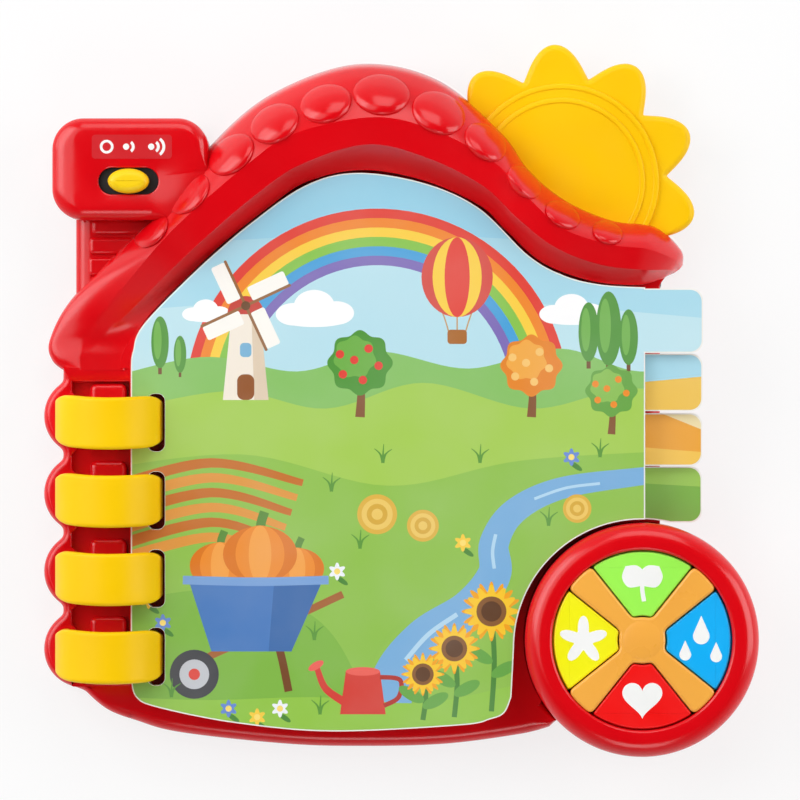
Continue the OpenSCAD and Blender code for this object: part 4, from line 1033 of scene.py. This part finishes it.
# Cover: wheelbarrow, watering can and flowers in front
cover += [("#84BA4A", ground([[-115, -74], [-62, -66], [-30, -76], [-14, -100], [-8, -128]])),
          ("#A9683A", ribbon([[-76, -94], [-50, -82], [-20, -68]], 2.6)),
          ("#7A4B2C", ribbon([[-43, -84], [-41, -92], [-39, -102]], 2.8))]
cover += pumpkin(-63, -58, 9) + pumpkin(-36, -59, 8) + pumpkin(-49, -54, 11)
cover += [("#4F7FC0", np.array([[-74, -63], [-66, -88], [-38, -88], [-27, -63]])),
          ("#4370AD", np.array([[-44, -63], [-46, -88], [-38, -88], [-27, -63]])),
          ("#7EA6DA", ribbon([[-76, -63], [-50, -63.6], [-25, -63]], 3)),
          ("#45464C", ellipse(-72, -96, 8.6)), ("#C9CCD2", ellipse(-72, -96, 5.2)),
          (apple_red, ellipse(-72, -96, 2)),
          ("#97C94E", ground([[-115, -103], [-70, -105], [-30, -104], [8, -106], [40, -100], [60, -98]])),
          ("#D8443A", np.array([[-21, -110], [-5, -110], [-7, -95], [-19, -95]])),
          ("#F0665B", ellipse(-13, -95, 6, 1.5)),
          ("#D8443A", ribbon([[-19, -106], [-26, -101], [-29, -94]], 3, 2)),
          ("#F0665B", ellipse(-29.4, -93, 3, 1.3, 30)),
          ("#B5342C", ribbon([[-7, -97], [0, -98], [-0.5, -104], [-5.6, -107]], 1.6))]
cover += sunflower(32, -109, 35, 10.5) + sunflower(19, -111, 24, 9) + sunflower(8, -112, 16, 7.6)
daisies = ((-86, -92, daisy_white), (-83, -78, cornflower), (-88, -70, buttercup), (-60, -108, cornflower),
           (-50, -111, buttercup), (-42, -108, daisy_white), (22, -50, buttercup), (-22, -60, daisy_white),
           (60, -20, cornflower))
for x, y, colour in daisies:
    cover += daisy(x, y, colour)
tufts = ((-80, -104), (-28, -110), (-30, -84), (-14, -52), (70, -20), (28, -22), (-6, -22), (52, -44),
         (-24, -32))
for x, y in tufts:
    cover += tuft(x, y)

# Inner pages
orchard = [("#A9DBEC", whole_page)] + cloud(-40, 40, 1) + cloud(40, 42, 0.8)
orchard += [("#F1C453", ground([[-115, 2], [-40, 10], [30, 3], [115, 9]])),
            (meadow, ground([[-115, -14], [-30, -6], [50, -18], [115, -8]]))]
for x, y in ((-62, -34), (-14, -30), (34, -36), (-44, -78), (8, -76)):
    orchard += round_tree(x, y, 1.5, *apple_tree)
garden = [("#F3E3B0", whole_page), ("#F1A93F", ground([[-115, 20], [-30, 26], [40, 14], [115, -14]])),
          ("#F8C95A", ground([[-115, -2], [-30, 8], [50, -12], [115, -19]]))]
for k in range(6):
    garden.append(("#B87434", ribbon([[-100, -18 - 15 * k], [-20, -12 - 15 * k], [84, -24 - 15 * k]], 6)))
    garden += [part for j in range(6) for part in pumpkin(-74 + 25 * j, -12 - 15 * k, 3.6)]
pond = [("#BFE3EE", whole_page), ("#9CCB58", ground([[-115, 18], [-30, 26], [40, 12], [115, 2]])),
        ("#7DB648", ground([[-115, -20], [-30, -12], [50, -26], [115, -31]])),
        ("#6FA9D8", ellipse(-14, -62, 62, 30)), ("#93C4E8", ellipse(-18, -58, 46, 20))]
for x, y in ((-50, -60), (-20, -72), (14, -54), (-6, -46)):
    pond += [("#5E9C46", ellipse(x, y, 7, 4)), ("#F4C6D4", star(x, y + 1, 8, 3.6, 2))]
for x in range(-80, 40, 12):
    pond += tuft(x, -26 - (x % 5), 2)


def dotted(base, dot):
    """A plain sheet with rows of leaves, for a page's back."""
    spots = [(x + (row % 2) * 9, -104 + 15 * row) for row in range(13) for x in range(-92, 92, 18)]
    return [(base, whole_page), *[(dot, ellipse(x, y, 3.4, 1.8, 40, 16)) for x, y in spots]]


# Varnish gives the print a soft, even shine that dulls a little where hands have faded it
varnished = board_material("varnished_print_board", 0.06)
plain_board = [("#F4F2EC", ellipse(0, 0, 200))]
fronts = [cover, orchard, garden, pond]
backs = [dotted("#FBF3D9", meadow), dotted("#E4F3F8", water_blue), dotted("#FDEBD2", "#F1A93F"),
         dotted("#EEF6DC", "#7DB648")]
for page, z in enumerate(page_zs):
    number = page + 1
    body = f"page_{number}"
    core = sheet(page, z + ink_t, z + page_t - ink_t, 0, plain_board)
    stands_for = [body, f"{body}_magnet"]
    make_piece(f"board_{number}", core[:2], varnished, body, stands_for, colours=core[2])
    for side, low, paints in (("front", z + page_t - ink_t, fronts[page]), ("back", z, backs[page])):
        ink = sheet(page, low, low + ink_t, ink_margin, paints)
        make_piece(f"{side}_print_{number}", ink[:2], varnished, body, colours=ink[2])

# Electrics: what lies inside the casing keeps its CAD shape. Boards have a green solder mask, metal
# parts are zinc plated, the loudspeaker has a pulp cone and the leads are soft PVC.


def plated_metal(name, colour, roughness, grain_mm):
    """Metal with fine lines along the length of the book, grain_mm apart, that vary its polish."""
    material, tree, place = new_finish(name)
    drawn = add_node(tree, "ShaderNodeMapping", {"Vector": place, "Scale": (1, 0.05, 1)})
    lines = add_node(tree, "ShaderNodeTexNoise", {
        "Vector": drawn.outputs[0], "Scale": per_metre(grain_mm), "Detail": 2.0})
    rough = add_node(tree, "ShaderNodeMapRange", {
        "Value": lines.outputs["Fac"], "From Min": 0.3, "From Max": 0.7,
        "To Min": roughness * 0.75, "To Max": roughness * 1.25})
    bump = add_node(tree, "ShaderNodeBump", {
        "Height": lines.outputs["Fac"], "Strength": 0.2, "Distance": 0.00001})
    shader = add_node(tree, "ShaderNodeBsdfPrincipled", {
        "Base Color": linear(colour), "Metallic": 1.0, "Roughness": rough.outputs["Result"],
        "Normal": bump.outputs["Normal"]})
    add_node(tree, "ShaderNodeOutputMaterial", {"Surface": shader.outputs[0]})
    return material


# Solder mask is a dull, mottled green; resin, silicone and PVC are dull and even; pulp is rough and dark
dress(moulded_plastic("green_solder_mask", "#1F6B38", 0.4, shade=0.12), "circuit_board", "main_board",
      "button_board", "sensor_board")
dress(shade_and_resin_black, "black_resin", "sound_chip", "page_sensors", "selector_switch")
dress(moulded_plastic("milky_silicone", "#E4E3DE", 0.55), "silicone", "keypad_membrane")
dress(moulded_plastic("black_pvc_insulation", "#1C1C1E", 0.5), "lead_insulation", "speaker_lead",
      "battery_lead", "selector_lead", "button_lead")
dress(moulded_plastic("pressed_pulp", "#232324", 0.85, 0.05, 0.2), "speaker_paper", "speaker_cone")

# Zinc is bright with drawn lines, the basket a darker grey, ferrite dull and stony, the cells' foil golden
dress(plated_metal("zinc_plated_steel", "#BDBEC1", 0.32, 0.4), "bare_steel", "case_screws", "board_screws",
      "battery_door_screw", "battery_springs", "battery_plates")
dress(plated_metal("pressed_steel_basket", "#6A6B6F", 0.45, 0.7), "speaker_basket", "speaker_frame")
dress(plated_metal("sintered_ferrite", "#3B3B3E", 0.6, 0.3), "ferrite", "speaker_magnet")
dress(plated_metal("foil_cell_jacket", "#C79A3C", 0.35, 0.8), "cell_jacket", "batteries")
